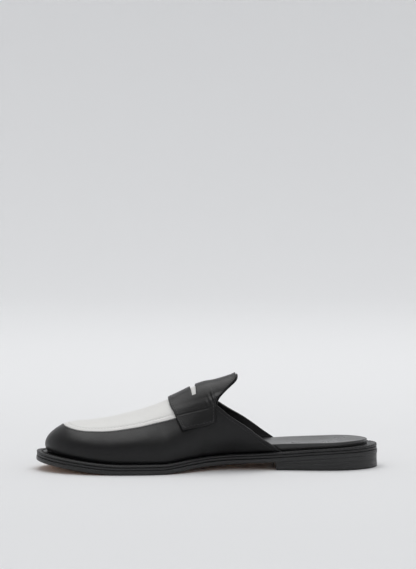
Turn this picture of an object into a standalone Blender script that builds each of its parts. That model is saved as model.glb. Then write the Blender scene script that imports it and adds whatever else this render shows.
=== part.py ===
"""Backless penny loafer, right foot, built as its separate pieces.

The toe points along -X, the medial (inner) side is -Y and the sole stands on Z = 0.
Lengths are metres, and the tables hold shares of the named sizes.
"""

import math

import bmesh
import bpy
import numpy as np

# Driving sizes of the sole
LENGTH = 0.275
BALL_WIDTH = 0.0968
HEEL_LENGTH = 0.0833
HEEL_HEIGHT = 0.0107
TOE_SPRING = 0.0074
OUTSOLE_THICK = 0.0035
MIDSOLE_THICK = 0.0019
WELT_THICK = 0.0018
INSOLE_THICK = 0.0040
MIDSOLE_SET_IN = 0.0009
HEEL_SET_IN = 0.0004
HEEL_TAPER = 0.0007
EDGE_ROUND = 0.0006
HEEL_ROUND_LENGTH = 0.040
MEDIAL_TOE_LENGTH = 0.070
LATERAL_TOE_LENGTH = 0.097
WELT_SEAT = 0.0080
LAP_CLEAR = 0.0006

# Driving sizes of the upper
UPPER_HEIGHT = 0.0617
LINING_THICK = 0.0008
LEATHER_THICK = 0.0016
APRON_THICK = 0.0010
SADDLE_THICK = 0.0014
APRON_END = 0.140
APRON_CLEAR = 0.00075
STEP_WIDTH = 0.0004
FOOT_LIP = 0.0006
TOE_SEAM_INSET = 0.0113
SADDLE_RAMP = 0.010
TONGUE_CLEAR = 0.0005
SLOT_LENGTH = 0.030
SLOT_WIDTH = 0.0046
SLOT_END_WIDTH = 0.0034
SLOT_BEND = 0.0006

# Clearance left between two pieces that touch on the real shoe
GAP = 0.0003

# Places as shares of the length, and shares of half the ball width for the spine
TOE_FOCUS = 0.843
HEEL_SPINE = 0.032
TOE_SPINE = -0.08
SLOT_PLACE = 0.543
TOE_SEAM_RISE = 0.397
TOE_LEAN = 41.0
TOE_SLOPE = 24.0
MEDIAL_TOE_POWER = 0.50
LATERAL_TOE_POWER = 0.54

# Handles of the two curves in each half section, as shares of the lengths that they span
WALL_FOOT_HANDLE = 0.53
WALL_TOP_HANDLE = 0.38
CROWN_FOOT_HANDLE = 0.40
CROWN_TOP_HANDLE = 0.42

# Mesh density
SOLE_TURNS = 88
FINE_TURNS = 720
WALL_ROWS = 6
CROWN_ROWS = 6
BODY_COLUMNS = 17
TOE_COLUMNS = 18
APRON_COLUMNS = 12
SADDLE_COLUMNS = 13
TAB_ROWS = 3
HEEL_TURNS = 26
LIP_LEVEL = 0.03
REAR_CROWDING = 1.35

MEDIAL = -1
LATERAL = 1

# Half widths of the sole along the foot, as shares of half the ball width
SOLE_WIDTH = (
    ("from_heel", "medial", "lateral"),
    (0.000, 0.590, 0.654),
    (0.160, 0.590, 0.654),
    (0.235, 0.542, 0.654),
    (0.290, 0.499, 0.654),
    (0.360, 0.441, 0.685),
    (0.425, 0.429, 0.741),
    (0.500, 0.546, 0.840),
    (0.550, 0.728, 0.920),
    (0.590, 0.856, 0.970),
    (0.640, 0.964, 1.000),
    (0.700, 1.000, 1.000),
    (1.000, 1.000, 1.000),
)

# Height of the outsole's underside: behind the ball a share of the heel, ahead a share of the toe spring
UNDERSIDE = (
    ("from_heel", "of_heel", "of_spring"),
    (0.000, 1.000, 0.000),
    (0.080, 0.955, None),
    (0.180, 0.830, None),
    (0.290, 0.600, None),
    (0.360, 0.485, None),
    (0.430, 0.410, None),
    (0.500, 0.330, None),
    (0.550, 0.235, None),
    (0.590, 0.100, None),
    (0.630, 0.000, None),
    (0.755, 0.000, 0.000),
    (0.800, None, 0.080),
    (0.840, None, 0.216),
    (0.880, None, 0.392),
    (0.920, None, 0.568),
    (0.960, None, 0.770),
    (1.000, 0.000, 1.000),
)

# Bare rim of the sole outside the upper, as a share of the rim at the toe
RIM_AT_TOE = 0.0092
RIM = (
    ("from_heel", "width"),
    (0.00, 0.239),
    (0.20, 0.239),
    (0.30, 0.283),
    (0.45, 0.326),
    (0.60, 0.478),
    (0.75, 0.565),
    (0.90, 0.717),
    (1.00, 1.000),
)

# Thickness of the footbed along the foot, as a share of its thickness at the heel
FOOTBED = (
    ("from_heel", "thickness"),
    (0.00, 0.80),
    (0.06, 0.97),
    (0.13, 1.00),
    (0.20, 1.15),
    (0.29, 1.45),
    (0.38, 1.50),
    (0.55, 1.15),
    (0.70, 0.90),
    (1.00, 0.90),
)

# Sections of the last: heights above the sole's top as shares of the upper's height, places across
# the foot as shares of half the ball width, the wall's lean at the sole and its slope at the seam
BODY = (
    ("from_heel", "ridge_rise", "seam_rise", "medial_seam", "lateral_seam", "ridge_y",
     "medial_lean", "lateral_lean", "slope"),
    (0.290, 1.2290, 0.7600, 0.470, 0.530, 0.050, 30.0, 12.0, 62.0),
    (0.350, 1.1300, 0.7250, 0.468, 0.520, None, None, None, None),
    (0.400, 1.0500, 0.7000, 0.447, 0.508, 0.045, 38.0, 14.0, 60.0),
    (0.414, 1.0040, 0.6900, 0.443, 0.505, None, None, None, None),
    (0.425, 0.9620, 0.6820, 0.440, 0.503, None, None, None, None),
    (0.450, 0.9310, 0.6670, 0.432, 0.498, None, None, None, None),
    (0.478, 0.9060, 0.6450, 0.430, 0.500, None, None, None, None),
    (0.484, 0.9010, 0.6220, 0.443, 0.515, None, None, None, None),
    (0.490, 0.8950, 0.6000, 0.455, 0.528, 0.036, 36.0, 16.0, 58.0),
    (0.530, 0.8630, 0.5620, 0.477, 0.547, None, None, None, None),
    (0.570, 0.8000, 0.5390, 0.495, 0.561, 0.030, 30.0, 20.0, 53.0),
    (0.610, 0.7380, 0.5200, 0.524, 0.577, 0.025, None, None, 50.0),
    (0.650, 0.6665, 0.4860, 0.566, 0.591, 0.012, 26.0, 24.0, 45.0),
    (0.700, 0.5960, 0.4360, 0.599, 0.583, -0.008, None, None, 40.0),
    (0.750, 0.5430, 0.4020, 0.607, 0.545, -0.030, 28.0, 28.0, 37.0),
    (0.800, 0.4895, 0.3695, 0.587, 0.479, -0.050, None, None, 34.0),
    (0.843, 0.4490, 0.3485, 0.537, 0.413, -0.062, 32.0, 32.0, 31.0),
)

# Rear edges by height: shares of the upper's height against shares of the length
TOPLINE = (
    ("rise", "medial", "lateral"),
    (0.000, 0.290, 0.278),
    (0.090, 0.311, 0.298),
    (0.186, 0.336, 0.326),
    (0.373, 0.383, 0.382),
    (0.504, 0.430, 0.433),
    (0.645, 0.478, 0.478),
)
TONGUE_EDGE = (
    ("rise", "from_heel"),
    (0.645, 0.478),
    (0.700, 0.473),
    (0.780, 0.455),
    (0.880, 0.425),
    (0.945, 0.412),
    (1.000, 0.414),
    (1.050, 0.420),
)
SADDLE_REAR = (
    ("rise", "from_heel"),
    (0.350, 0.489),
    (0.550, 0.483),
    (0.645, 0.478),
)
SADDLE_FRONT = (
    ("rise", "from_heel"),
    (0.357, 0.5740),
    (0.504, 0.5900),
    (0.593, 0.5980),
    (0.680, 0.6090),
    (0.738, 0.6100),
)

# Lower end of the saddle's tabs, as shares of the wall, at the front and the rear corner
TAB_FRONT = 0.62
TAB_REAR = 0.67

BLACK_LEATHER = (0.012, 0.012, 0.013)
WHITE_LEATHER = (0.700, 0.700, 0.690)
BLACK_EDGE = (0.016, 0.016, 0.017)
FOOTBED_LEATHER = (0.020, 0.020, 0.021)


def read(table, name, at):
    """Value of a table's column on the smooth curve through its rows, which never overshoots them."""
    names, *rows = table
    column = names.index(name)
    known = [(row[0], row[column]) for row in rows if row[column] is not None]
    places, values = np.array(known, float).T
    step = np.diff(places)
    rate = np.diff(values) / step
    slope = np.concatenate([rate[:1], np.zeros(len(rate) - 1), rate[-1:]])
    same_way = rate[:-1] * rate[1:] > 0
    before = 2 * step[1:] + step[:-1]
    after = step[1:] + 2 * step[:-1]
    with np.errstate(divide="ignore", invalid="ignore"):
        mean = (before + after) / (before / rate[:-1] + after / rate[1:])
    slope[1:-1] = np.where(same_way, mean, 0.0)
    at = np.clip(at, places[0], places[-1])
    left = np.clip(np.searchsorted(places, at) - 1, 0, len(step) - 1)
    span = step[left]
    share = (at - places[left]) / span
    rest = 1 - share
    return (
        (1 + 2 * share) * rest**2 * values[left]
        + share * rest**2 * span * slope[left]
        + share**2 * (3 - 2 * share) * values[left + 1]
        - share**2 * rest * span * slope[left + 1]
    )


def column_for(side):
    """Name of the table column that serves one side of the foot."""
    return "medial" if side == MEDIAL else "lateral"


def to_x(from_heel):
    """World X of a place measured from the back of the heel."""
    return LENGTH / 2 - from_heel


def underside(from_heel):
    """Height of the outsole's lower face."""
    share = np.asarray(from_heel) / LENGTH
    heel = HEEL_HEIGHT * read(UNDERSIDE, "of_heel", share)
    return heel + TOE_SPRING * read(UNDERSIDE, "of_spring", share)


def midsole_floor(from_heel):
    """Height of the midsole's lower face."""
    return underside(from_heel) + OUTSOLE_THICK + GAP


def welt_floor(from_heel):
    """Height of the welt's lower face."""
    return midsole_floor(from_heel) + MIDSOLE_THICK + GAP


def sole_top(from_heel):
    """Height of the welt's upper face, which the upper stands on."""
    return welt_floor(from_heel) + WELT_THICK


def rim(from_heel):
    """Width of the bare rim between the sole's edge and the upper."""
    return RIM_AT_TOE * read(RIM, "width", np.asarray(from_heel) / LENGTH)


def sole_edge(turn):
    """Distance from the heel and place across of the sole's edge: turn 0 is the back of the heel,
    pi the tip of the toe, and the medial side comes first."""
    half = BALL_WIDTH / 2
    from_heel = LENGTH * (1 - np.cos(turn)) / 2
    share = from_heel / LENGTH
    medial = np.sin(turn) > 0
    width = np.where(medial, -read(SOLE_WIDTH, "medial", share), read(SOLE_WIDTH, "lateral", share))
    across = half * width
    back = np.clip(1 - from_heel / HEEL_ROUND_LENGTH, 0, 1)
    across = half * HEEL_SPINE + (across - half * HEEL_SPINE) * np.sqrt(1 - back**2)
    toe_length = np.where(medial, MEDIAL_TOE_LENGTH, LATERAL_TOE_LENGTH)
    power = np.where(medial, MEDIAL_TOE_POWER, LATERAL_TOE_POWER)
    front = np.clip(1 - (LENGTH - from_heel) / toe_length, 0, 1)
    across = half * TOE_SPINE + (across - half * TOE_SPINE) * (1 - front**2) ** power
    return np.stack([from_heel, across], -1)


def inset_edge(turn, inset):
    """The sole's edge moved inwards; inset is a length or a function of the distance from the heel."""
    small = 1e-4
    edge = sole_edge(turn)
    along = sole_edge(turn + small) - sole_edge(turn - small)
    along /= np.linalg.norm(along, axis=-1, keepdims=True)
    inwards = np.stack([-along[..., 1], along[..., 0]], -1)
    amount = inset(edge[..., 0]) if callable(inset) else inset
    return edge + inwards * np.reshape(amount, (-1, 1))


def ring(turn, inset, height):
    """Points in space of an inset edge at a height given by the distance from the heel."""
    from_heel, across = inset_edge(turn, inset).T
    return np.stack([to_x(from_heel), across, height(from_heel) + 0 * across], -1)


def feather_inset(from_heel):
    """Inset of the line where the lining's outer face meets the sole."""
    return rim(from_heel) + LEATHER_THICK


FOCUS = TOE_FOCUS * LENGTH
FEATHER = inset_edge(np.linspace(0, 2 * math.pi, FINE_TURNS, endpoint=False), feather_inset)


def feather_across(from_heel, side):
    """Place across the foot of the feather line on one side."""
    half = FINE_TURNS // 2
    line = FEATHER[1:half] if side == MEDIAL else FEATHER[:half:-1]
    return np.interp(from_heel, line[:, 0], line[:, 1])


def side_rib(from_heel, side):
    """Guide points and directions of the last's half section at a distance from the heel."""
    from_heel = np.asarray(from_heel, float)
    share = from_heel / LENGTH
    half = BALL_WIDTH / 2
    name = column_for(side)
    floor = sole_top(from_heel)
    x = to_x(from_heel)
    seam_z = floor + UPPER_HEIGHT * read(BODY, "seam_rise", share)
    ridge_z = floor + UPPER_HEIGHT * read(BODY, "ridge_rise", share)
    return {
        "feather": np.stack([x, feather_across(from_heel, side), floor + GAP], -1),
        "seam": np.stack([x, side * half * read(BODY, name + "_seam", share), seam_z], -1),
        "ridge": np.stack([x, half * read(BODY, "ridge_y", share), ridge_z], -1),
        "out": np.stack([0 * x, side + 0 * x, 0 * x], -1),
        "lean": np.radians(read(BODY, name + "_lean", share)),
        "slope": np.radians(read(BODY, "slope", share)),
        "fall": 0 * x,
    }


def toe_rib(angle):
    """The same guides on a ray from the toe's focus: 0 points medially, pi/2 to the toe tip."""
    angle = np.asarray(angle, float)
    forward = np.sin(angle)
    blend = forward**2
    small = 0.004 * LENGTH
    out = np.stack([-forward, -np.cos(angle), 0 * angle], -1)
    centre = side_rib(FOCUS, MEDIAL)["ridge"]
    from_centre = FEATHER * (-1, 1) + (to_x(0), 0) - centre[:2]
    around = np.arctan2(-from_centre[:, 0], -from_centre[:, 1])
    around = np.where(around < -math.pi / 2, around + 2 * math.pi, around)
    ahead = np.flatnonzero(FEATHER[:, 0] > FOCUS - 2 * small)
    reach = np.interp(angle, around[ahead], np.linalg.norm(from_centre[ahead], axis=1))
    front_reach = np.interp(math.pi / 2, around[ahead], np.linalg.norm(from_centre[ahead], axis=1))
    guides = {}
    for side in (MEDIAL, LATERAL):
        rib = side_rib(FOCUS, side)
        behind = side_rib(FOCUS - small, side)
        side_reach = abs(rib["seam"][1] - centre[1])
        taper = (abs(behind["seam"][1]) - abs(rib["seam"][1])) / small
        seam_reach = side_reach + (front_reach - TOE_SEAM_INSET - side_reach) * blend
        seam_reach = seam_reach - taper * side_reach * forward * (1 - forward)
        toe_seam_z = sole_top(FOCUS) + UPPER_HEIGHT * TOE_SEAM_RISE
        guides[side] = {
            "seam_reach": seam_reach,
            "seam_z": rib["seam"][2] + (toe_seam_z - rib["seam"][2]) * blend,
            "lean": rib["lean"] + (math.radians(TOE_LEAN) - rib["lean"]) * blend,
            "slope": rib["slope"] + (math.radians(TOE_SLOPE) - rib["slope"]) * blend,
            "fall": (behind["ridge"][2] - rib["ridge"][2]) / small * forward,
        }
    medial = angle < math.pi / 2
    pick = {key: np.where(medial, guides[MEDIAL][key], guides[LATERAL][key]) for key in guides[MEDIAL]}
    feather = centre + out * reach[..., None]
    outer_foot = feather + out * LEATHER_THICK
    feather[..., 2] = sole_top(to_x(outer_foot[..., 0])) + GAP
    seam = centre + out * pick["seam_reach"][..., None]
    seam[..., 2] = pick["seam_z"]
    return {
        "feather": feather,
        "seam": seam,
        "ridge": centre + 0 * out,
        "out": out,
        "lean": pick["lean"],
        "slope": pick["slope"],
        "fall": pick["fall"],
    }


def bezier(start, first, second, end, share):
    """Points of a cubic curve."""
    share = share[..., None]
    rest = 1 - share
    return (
        start * rest**3
        + 3 * first * share * rest**2
        + 3 * second * share**2 * rest
        + end * share**3
    )


def on_rib(rib, level, past=0.0):
    """A point of the last's half section: level 0 is the feather, 1 the seam and 2 the ridge.
    Above the seam the points are pushed on by `past` metres, fading out towards the ridge."""
    up = np.array([0.0, 0.0, 1.0])
    level = level + 0 * rib["lean"]
    lean = rib["lean"][..., None]
    slope = rib["slope"][..., None]
    root = rib["feather"] + up * FOOT_LIP
    seam = rib["seam"]
    ridge = rib["ridge"]
    out = rib["out"]
    rising = out * np.sin(lean) + up * np.cos(lean)
    cresting = -out * np.cos(slope) + up * np.sin(slope)
    height = (seam - root)[..., 2:]
    chord = np.linalg.norm(seam - root, axis=-1, keepdims=True)
    span = np.linalg.norm(ridge - seam, axis=-1, keepdims=True)
    wall = bezier(
        root,
        root + rising * height * WALL_FOOT_HANDLE,
        seam - cresting * chord * WALL_TOP_HANDLE,
        seam,
        np.clip((level - LIP_LEVEL) / (1 - LIP_LEVEL), 0, 1),
    )
    crown_share = np.clip(level - 1, 0, 1)
    crown_share = crown_share + (1 - crown_share) * past / (3 * CROWN_FOOT_HANDLE * span[..., 0])
    falling = out - up * rib["fall"][..., None]
    crown = bezier(
        seam,
        seam + cresting * span * CROWN_FOOT_HANDLE,
        ridge + falling * span * CROWN_TOP_HANDLE,
        ridge,
        crown_share,
    )
    lip = rib["feather"] + up * FOOT_LIP * np.clip(level / LIP_LEVEL, 0, 1)[..., None]
    lower = np.where((level < LIP_LEVEL)[..., None], lip, wall)
    return np.where((level + past > 1)[..., None], crown, lower)


def rear_edge(rise, side):
    """Rear end of the upper at a height: the topline, and the tongue's edge above it."""
    corner = TONGUE_EDGE[1][0]
    below = read(TOPLINE, column_for(side), rise)
    above = read(TONGUE_EDGE, "from_heel", rise)
    return np.where(rise < corner, below, above)


def saddle_rear_edge(rise, side):
    """Rear end of the saddle at a height: the tab's edge, and the tongue's above it."""
    below = read(SADDLE_REAR, "from_heel", rise)
    return np.where(rise < TONGUE_EDGE[1][0], below, rear_edge(rise, side))


def saddle_front_edge(rise, side):
    """Front end of the saddle at a height, the same on both sides."""
    return read(SADDLE_FRONT, "from_heel", rise)


def meets(edge, side, level):
    """Distance from the heel at which a line of constant level meets an edge."""
    level = np.asarray(level, float)
    near = 0 * level + LENGTH * BODY[1][0] * 0.9
    far = 0 * level + FOCUS
    for _ in range(36):
        middle = (near + far) / 2
        rise = (on_rib(side_rib(middle, side), level)[..., 2] - sole_top(middle)) / UPPER_HEIGHT
        beyond = middle > LENGTH * edge(rise, side)
        far = np.where(beyond, middle, far)
        near = np.where(beyond, near, middle)
    return (near + far) / 2


def around_toe(levels, rear, columns, past):
    """Grid of points on the last, a row for each level, from the lateral rear round the toe to the
    medial rear. rear(side, levels) is where each row starts and ends; past is a value for each row."""
    level = levels[:, None]
    push = past[:, None]
    shares = np.linspace(0, 1, columns + 1) ** REAR_CROWDING
    flanks = {}
    for side in (MEDIAL, LATERAL):
        start = rear(side, levels)[:, None]
        flanks[side] = on_rib(side_rib(start + (FOCUS - start) * shares, side), level, push)
    angles = np.linspace(math.pi, 0, TOE_COLUMNS + 1)[1:-1]
    fan = toe_rib(angles[None, :] + 0 * level)
    toe = on_rib(fan, level, push)
    return np.concatenate([flanks[LATERAL], toe, flanks[MEDIAL][:, ::-1]], axis=1)


def make_material(name, colour, roughness):
    """A plain finish for one piece."""
    material = bpy.data.materials.new(name)
    material.use_nodes = True
    surface = material.node_tree.nodes["Principled BSDF"]
    surface.inputs["Base Color"].default_value = (*colour, 1.0)
    surface.inputs["Roughness"].default_value = roughness
    surface.inputs["Metallic"].default_value = 0.0
    return material


def add_object(name, bm, colour, roughness):
    """Turns a bmesh into a smooth-shaded piece of the shoe."""
    mesh = bpy.data.meshes.new(name)
    bm.to_mesh(mesh)
    bm.free()
    mesh.shade_smooth()
    mesh.set_sharp_from_angle(angle=math.radians(40))
    piece = bpy.data.objects.new(name, mesh)
    mesh.materials.append(make_material(name + "_finish", colour, roughness))
    bpy.data.collections["penny_mule"].objects.link(piece)
    piece.parent = bpy.data.objects["shoe"]
    return piece


def fill_grid(bm, points, wrap_rows=False, wrap_columns=False):
    """Adds a grid of points and its faces; a wrapped direction closes on itself."""
    rows, columns = points.shape[:2]
    verts = [[bm.verts.new(point) for point in row] for row in points]
    for row in range(rows if wrap_rows else rows - 1):
        for column in range(columns if wrap_columns else columns - 1):
            next_row = (row + 1) % rows
            next_column = (column + 1) % columns
            bm.faces.new((
                verts[row][column],
                verts[row][next_column],
                verts[next_row][next_column],
                verts[next_row][column],
            ))
    return verts


def fill_cap(bm, loop):
    """Closes a loop that is symmetric about its ends with a strip of faces."""
    last = len(loop) - 1
    for index in range(len(loop) // 2 - 1):
        bm.faces.new((loop[index], loop[last - index], loop[last - index - 1], loop[index + 1]))


def add_stack(name, rings, colour, roughness, rounding, closed=False):
    """A solid through rings of points, capped at both ends or, when closed, joined end to end."""
    bm = bmesh.new()
    verts = fill_grid(bm, np.array(rings), wrap_rows=closed, wrap_columns=True)
    if not closed:
        fill_cap(bm, verts[0])
        fill_cap(bm, verts[-1])
    bmesh.ops.recalc_face_normals(bm, faces=bm.faces)
    piece = add_object(name, bm, colour, roughness)
    bevel = piece.modifiers.new("rounded edges", "BEVEL")
    bevel.width = rounding
    bevel.segments = 2
    bevel.limit_method = "ANGLE"
    bevel.angle_limit = math.radians(50)
    return piece


def add_shell(name, points, lift, wall, thickness, colour):
    """A leather piece: an open surface lifted off the last and thickened outwards.
    lift is a length and wall a share of the thickness for each point."""
    bm = bmesh.new()
    lifts = bm.verts.layers.float.new("lift")
    walls = bm.verts.layers.deform.verify()
    verts = fill_grid(bm, points)
    for row, amounts, shares in zip(verts, lift, wall):
        for vert, amount, share in zip(row, amounts, shares):
            vert[lifts] = amount
            vert[walls][0] = share
    bmesh.ops.remove_doubles(bm, verts=bm.verts, dist=2e-5)
    bm.normal_update()
    for vert in bm.verts:
        vert.co += vert.normal * vert[lifts]
    piece = add_object(name, bm, colour, 0.4)
    piece.vertex_groups.new(name="wall")
    solidify = piece.modifiers.new("leather", "SOLIDIFY")
    solidify.thickness = thickness
    solidify.offset = 1.0
    solidify.vertex_group = "wall"
    return piece


def full_turns():
    """Turns of a whole sole outline, placed so that each has a partner across the foot."""
    return (np.arange(SOLE_TURNS) + 0.5) * 2 * math.pi / SOLE_TURNS


def add_outsole():
    """The black-edged leather outsole, flat at the ball and curved up to the toe."""
    turns = full_turns()
    lower = ring(turns, 0.0, underside)
    upper = ring(turns, 0.0, lambda d: underside(d) + OUTSOLE_THICK)
    add_stack("outsole", [lower, upper], BLACK_EDGE, 0.5, EDGE_ROUND)


def add_midsole():
    """The thin middle layer, set in so that a groove runs round the edge."""
    turns = full_turns()
    lower = ring(turns, MIDSOLE_SET_IN, midsole_floor)
    upper = ring(turns, MIDSOLE_SET_IN, lambda d: midsole_floor(d) + MIDSOLE_THICK)
    add_stack("midsole", [lower, upper], BLACK_EDGE, 0.5, EDGE_ROUND / 2)


def add_welt():
    """The stitched strip round the whole shoe, open where the insole drops in."""
    turns = full_turns()

    def seat(from_heel):
        return rim(from_heel) + WELT_SEAT

    rings = [
        ring(turns, 0.0, welt_floor),
        ring(turns, 0.0, sole_top),
        ring(turns, seat, sole_top),
        ring(turns, seat, welt_floor),
    ]
    add_stack("welt", rings, BLACK_EDGE, 0.45, EDGE_ROUND, closed=True)


def add_insole():
    """The footbed: it fills the welt and laps over it inside the upper."""
    turns = full_turns()

    def plug(from_heel):
        return rim(from_heel) + WELT_SEAT + GAP

    def lap(from_heel):
        return feather_inset(from_heel) + LINING_THICK + LAP_CLEAR

    def seat(from_heel):
        return sole_top(from_heel) + GAP

    def face(from_heel):
        return seat(from_heel) + INSOLE_THICK * read(FOOTBED, "thickness", from_heel / LENGTH)

    rings = [
        ring(turns, plug, welt_floor),
        ring(turns, plug, seat),
        ring(turns, lap, seat),
        ring(turns, lap, face),
    ]
    add_stack("insole", rings, FOOTBED_LEATHER, 0.35, EDGE_ROUND)


def add_heel():
    """The low stacked heel: flat below, following the outsole above, with an upright breast."""
    last_turn = math.acos(1 - 2 * HEEL_LENGTH / LENGTH)
    turns = np.linspace(-last_turn, last_turn, HEEL_TURNS)
    lower = ring(turns, HEEL_SET_IN + HEEL_TAPER, lambda d: 0 * d)
    upper = ring(turns, HEEL_SET_IN, lambda d: underside(d) - GAP)
    for loop in (lower, upper):
        loop[[0, -1], 0] = to_x(HEEL_LENGTH)
    add_stack("heel", [lower, upper], BLACK_EDGE, 0.5, EDGE_ROUND)


def add_upper():
    """The hollow leather upper: mudguard and quarters with a step down to the lining above the seam."""
    wall_levels = np.concatenate([[0.0, LIP_LEVEL], np.linspace(LIP_LEVEL, 1, WALL_ROWS + 1)[1:]])
    crown_levels = 1 + np.linspace(0, 1, CROWN_ROWS + 1)
    levels = np.concatenate([wall_levels, crown_levels])
    above = np.arange(len(levels)) >= len(wall_levels)
    past = np.where((levels == 1) & above, STEP_WIDTH, 0.0)
    points = around_toe(levels, lambda side, rows: meets(rear_edge, side, rows), BODY_COLUMNS, past)
    shape = np.ones(points.shape[:2])
    full = LINING_THICK + LEATHER_THICK
    wall = shape * np.where(above, LINING_THICK / full, 1.0)[:, None]
    add_shell("upper", points, -LINING_THICK * shape, wall, full, BLACK_LEATHER)


def add_apron():
    """The white apron, let in just above the seam and running back under the saddle."""
    levels = 1 + np.linspace(0, 1, CROWN_ROWS + 1)
    past = np.full(len(levels), APRON_CLEAR)
    points = around_toe(levels, lambda side, rows: APRON_END + 0 * rows, APRON_COLUMNS, past)
    shape = np.ones(points.shape[:2])
    add_shell("apron", points, GAP * shape, shape, APRON_THICK, WHITE_LEATHER)


def add_saddle():
    """The penny strap with its two tabs, in one piece with the flared tongue."""
    across = 1 - np.linspace(1, 0, SADDLE_COLUMNS + 1)[None, :] ** REAR_CROWDING
    foot = LIP_LEVEL + (1 - LIP_LEVEL) * (TAB_FRONT + (TAB_REAR - TAB_FRONT) * across)
    tab = foot + (1 - foot) * np.linspace(0, 1, TAB_ROWS + 1)[:-1, None]
    crown = 1 + np.linspace(0, 1, CROWN_ROWS + 1)[:, None] + 0 * across
    level = np.concatenate([tab, crown])
    halves = []
    for side in (MEDIAL, LATERAL):
        front = meets(saddle_front_edge, side, level)
        rear = meets(saddle_rear_edge, side, level)
        halves.append((front + (rear - front) * across, side))
    points = [on_rib(side_rib(from_heel, side), level) for from_heel, side in halves]
    over_apron = GAP + APRON_THICK + GAP
    from_heel = halves[0][0]
    behind = np.clip((APRON_END - 0.25 * SADDLE_RAMP - from_heel) / SADDLE_RAMP, 0, 1)
    over_crown = over_apron + (TONGUE_CLEAR - over_apron) * behind
    lift = np.where(level < 1 + 1.5 / CROWN_ROWS, LEATHER_THICK + GAP, over_crown)
    grid = np.concatenate([points[0], points[1][-2::-1]])
    lift = np.concatenate([lift, lift[-2::-1]])
    saddle = add_shell("saddle", grid, lift, np.ones(lift.shape), SADDLE_THICK, BLACK_LEATHER)
    cut = saddle.modifiers.new("penny slot", "BOOLEAN")
    cut.operation = "DIFFERENCE"
    cut.object = add_slot_cutter()
    cut.solver = "EXACT"


def add_slot_cutter():
    """Prism of the slot that runs across the strap, bowed towards the toe and narrower at its ends."""
    centre = side_rib(SLOT_PLACE * LENGTH, MEDIAL)["ridge"]
    outline = [
        (-SLOT_END_WIDTH / 2 + SLOT_BEND, -SLOT_LENGTH / 2),
        (SLOT_END_WIDTH / 2 + SLOT_BEND, -SLOT_LENGTH / 2),
        (SLOT_WIDTH / 2, 0.0),
        (SLOT_END_WIDTH / 2 + SLOT_BEND, SLOT_LENGTH / 2),
        (-SLOT_END_WIDTH / 2 + SLOT_BEND, SLOT_LENGTH / 2),
        (-SLOT_WIDTH / 2, 0.0),
    ]
    bm = bmesh.new()
    verts = [bm.verts.new((centre[0] + x, centre[1] + y, centre[2] - UPPER_HEIGHT / 3)) for x, y in outline]
    face = bm.faces.new(verts)
    top = bmesh.ops.extrude_face_region(bm, geom=[face])["geom"]
    risen = [item for item in top if isinstance(item, bmesh.types.BMVert)]
    bmesh.ops.translate(bm, verts=risen, vec=(0, 0, UPPER_HEIGHT * 2 / 3))
    bmesh.ops.recalc_face_normals(bm, faces=bm.faces)
    mesh = bpy.data.meshes.new("slot_cutter")
    bm.to_mesh(mesh)
    bm.free()
    cutter = bpy.data.objects.new("slot_cutter", mesh)
    cutter.hide_render = True
    cutter.display_type = "WIRE"
    bpy.data.collections["cutters"].objects.link(cutter)
    return cutter


def clear_scene():
    """Removes what the file holds and makes the two collections and the shoe's empty."""
    for item in list(bpy.data.objects):
        bpy.data.objects.remove(item)
    for name in ("penny_mule", "cutters"):
        bpy.context.scene.collection.children.link(bpy.data.collections.new(name))
    empty = bpy.data.objects.new("shoe", None)
    bpy.data.collections["penny_mule"].objects.link(empty)


def main():
    clear_scene()
    add_outsole()
    add_midsole()
    add_welt()
    add_insole()
    add_heel()
    add_upper()
    add_apron()
    add_saddle()


main()
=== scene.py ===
"""Looks of a backless penny loafer, right foot: fine pieces, finishes, floor, light and camera.

Each piece is made again, finely, from sections like those of its solid, so it lies in the same place; a
few edges lie up to 3 mm off the solid's, as the photograph has them. The toe points along -X, the medial
(inner) side is -Y and the sole stands on Z = 0. Lengths are metres, and the tables hold shares of the
named sizes.
"""

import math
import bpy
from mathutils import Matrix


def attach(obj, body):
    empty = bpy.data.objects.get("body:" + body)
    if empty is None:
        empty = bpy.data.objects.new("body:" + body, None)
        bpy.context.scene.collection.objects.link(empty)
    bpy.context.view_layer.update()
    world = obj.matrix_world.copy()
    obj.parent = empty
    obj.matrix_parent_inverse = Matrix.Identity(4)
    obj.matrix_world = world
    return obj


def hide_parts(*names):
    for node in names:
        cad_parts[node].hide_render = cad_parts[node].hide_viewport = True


bl_info = {
    "name": "Backless penny loafer",
    "version": (1, 0, 0),
    "blender": (4, 5, 0),
    "location": "View3D > Sidebar > Loafer",
    "description": "Makes the pieces, finishes, floor, light and camera of a backless penny loafer",
    "category": "Object",
}

import bmesh
import bpy
import numpy as np
from bpy.props import FloatProperty, FloatVectorProperty, PointerProperty
from mathutils import Euler, Vector

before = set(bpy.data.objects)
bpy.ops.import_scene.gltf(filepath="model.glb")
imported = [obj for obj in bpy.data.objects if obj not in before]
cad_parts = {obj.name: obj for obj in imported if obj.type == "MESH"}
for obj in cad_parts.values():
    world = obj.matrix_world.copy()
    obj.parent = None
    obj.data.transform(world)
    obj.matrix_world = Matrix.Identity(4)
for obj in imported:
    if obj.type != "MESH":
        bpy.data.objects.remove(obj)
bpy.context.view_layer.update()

# Sizes of the sole
LENGTH = 0.275
BALL_WIDTH = 0.0968
HEEL_LENGTH = 0.0833
HEEL_HEIGHT = 0.0107
TOE_SPRING = 0.0074
OUTSOLE_THICK = 0.0035
MIDSOLE_THICK = 0.0019
WELT_THICK = 0.0018
INSOLE_THICK = 0.0040
MIDSOLE_SET_IN = 0.0009
HEEL_SET_IN = 0.0003
HEEL_FLARE = 0.0003
HEEL_ROUND_LENGTH = 0.040
MEDIAL_TOE_LENGTH = 0.070
LATERAL_TOE_LENGTH = 0.097
WELT_SEAT = 0.0080
LAP_CLEAR = 0.0006
HEEL_LAP = 0.0030
HEEL_LAP_LENGTH = 0.035

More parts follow.
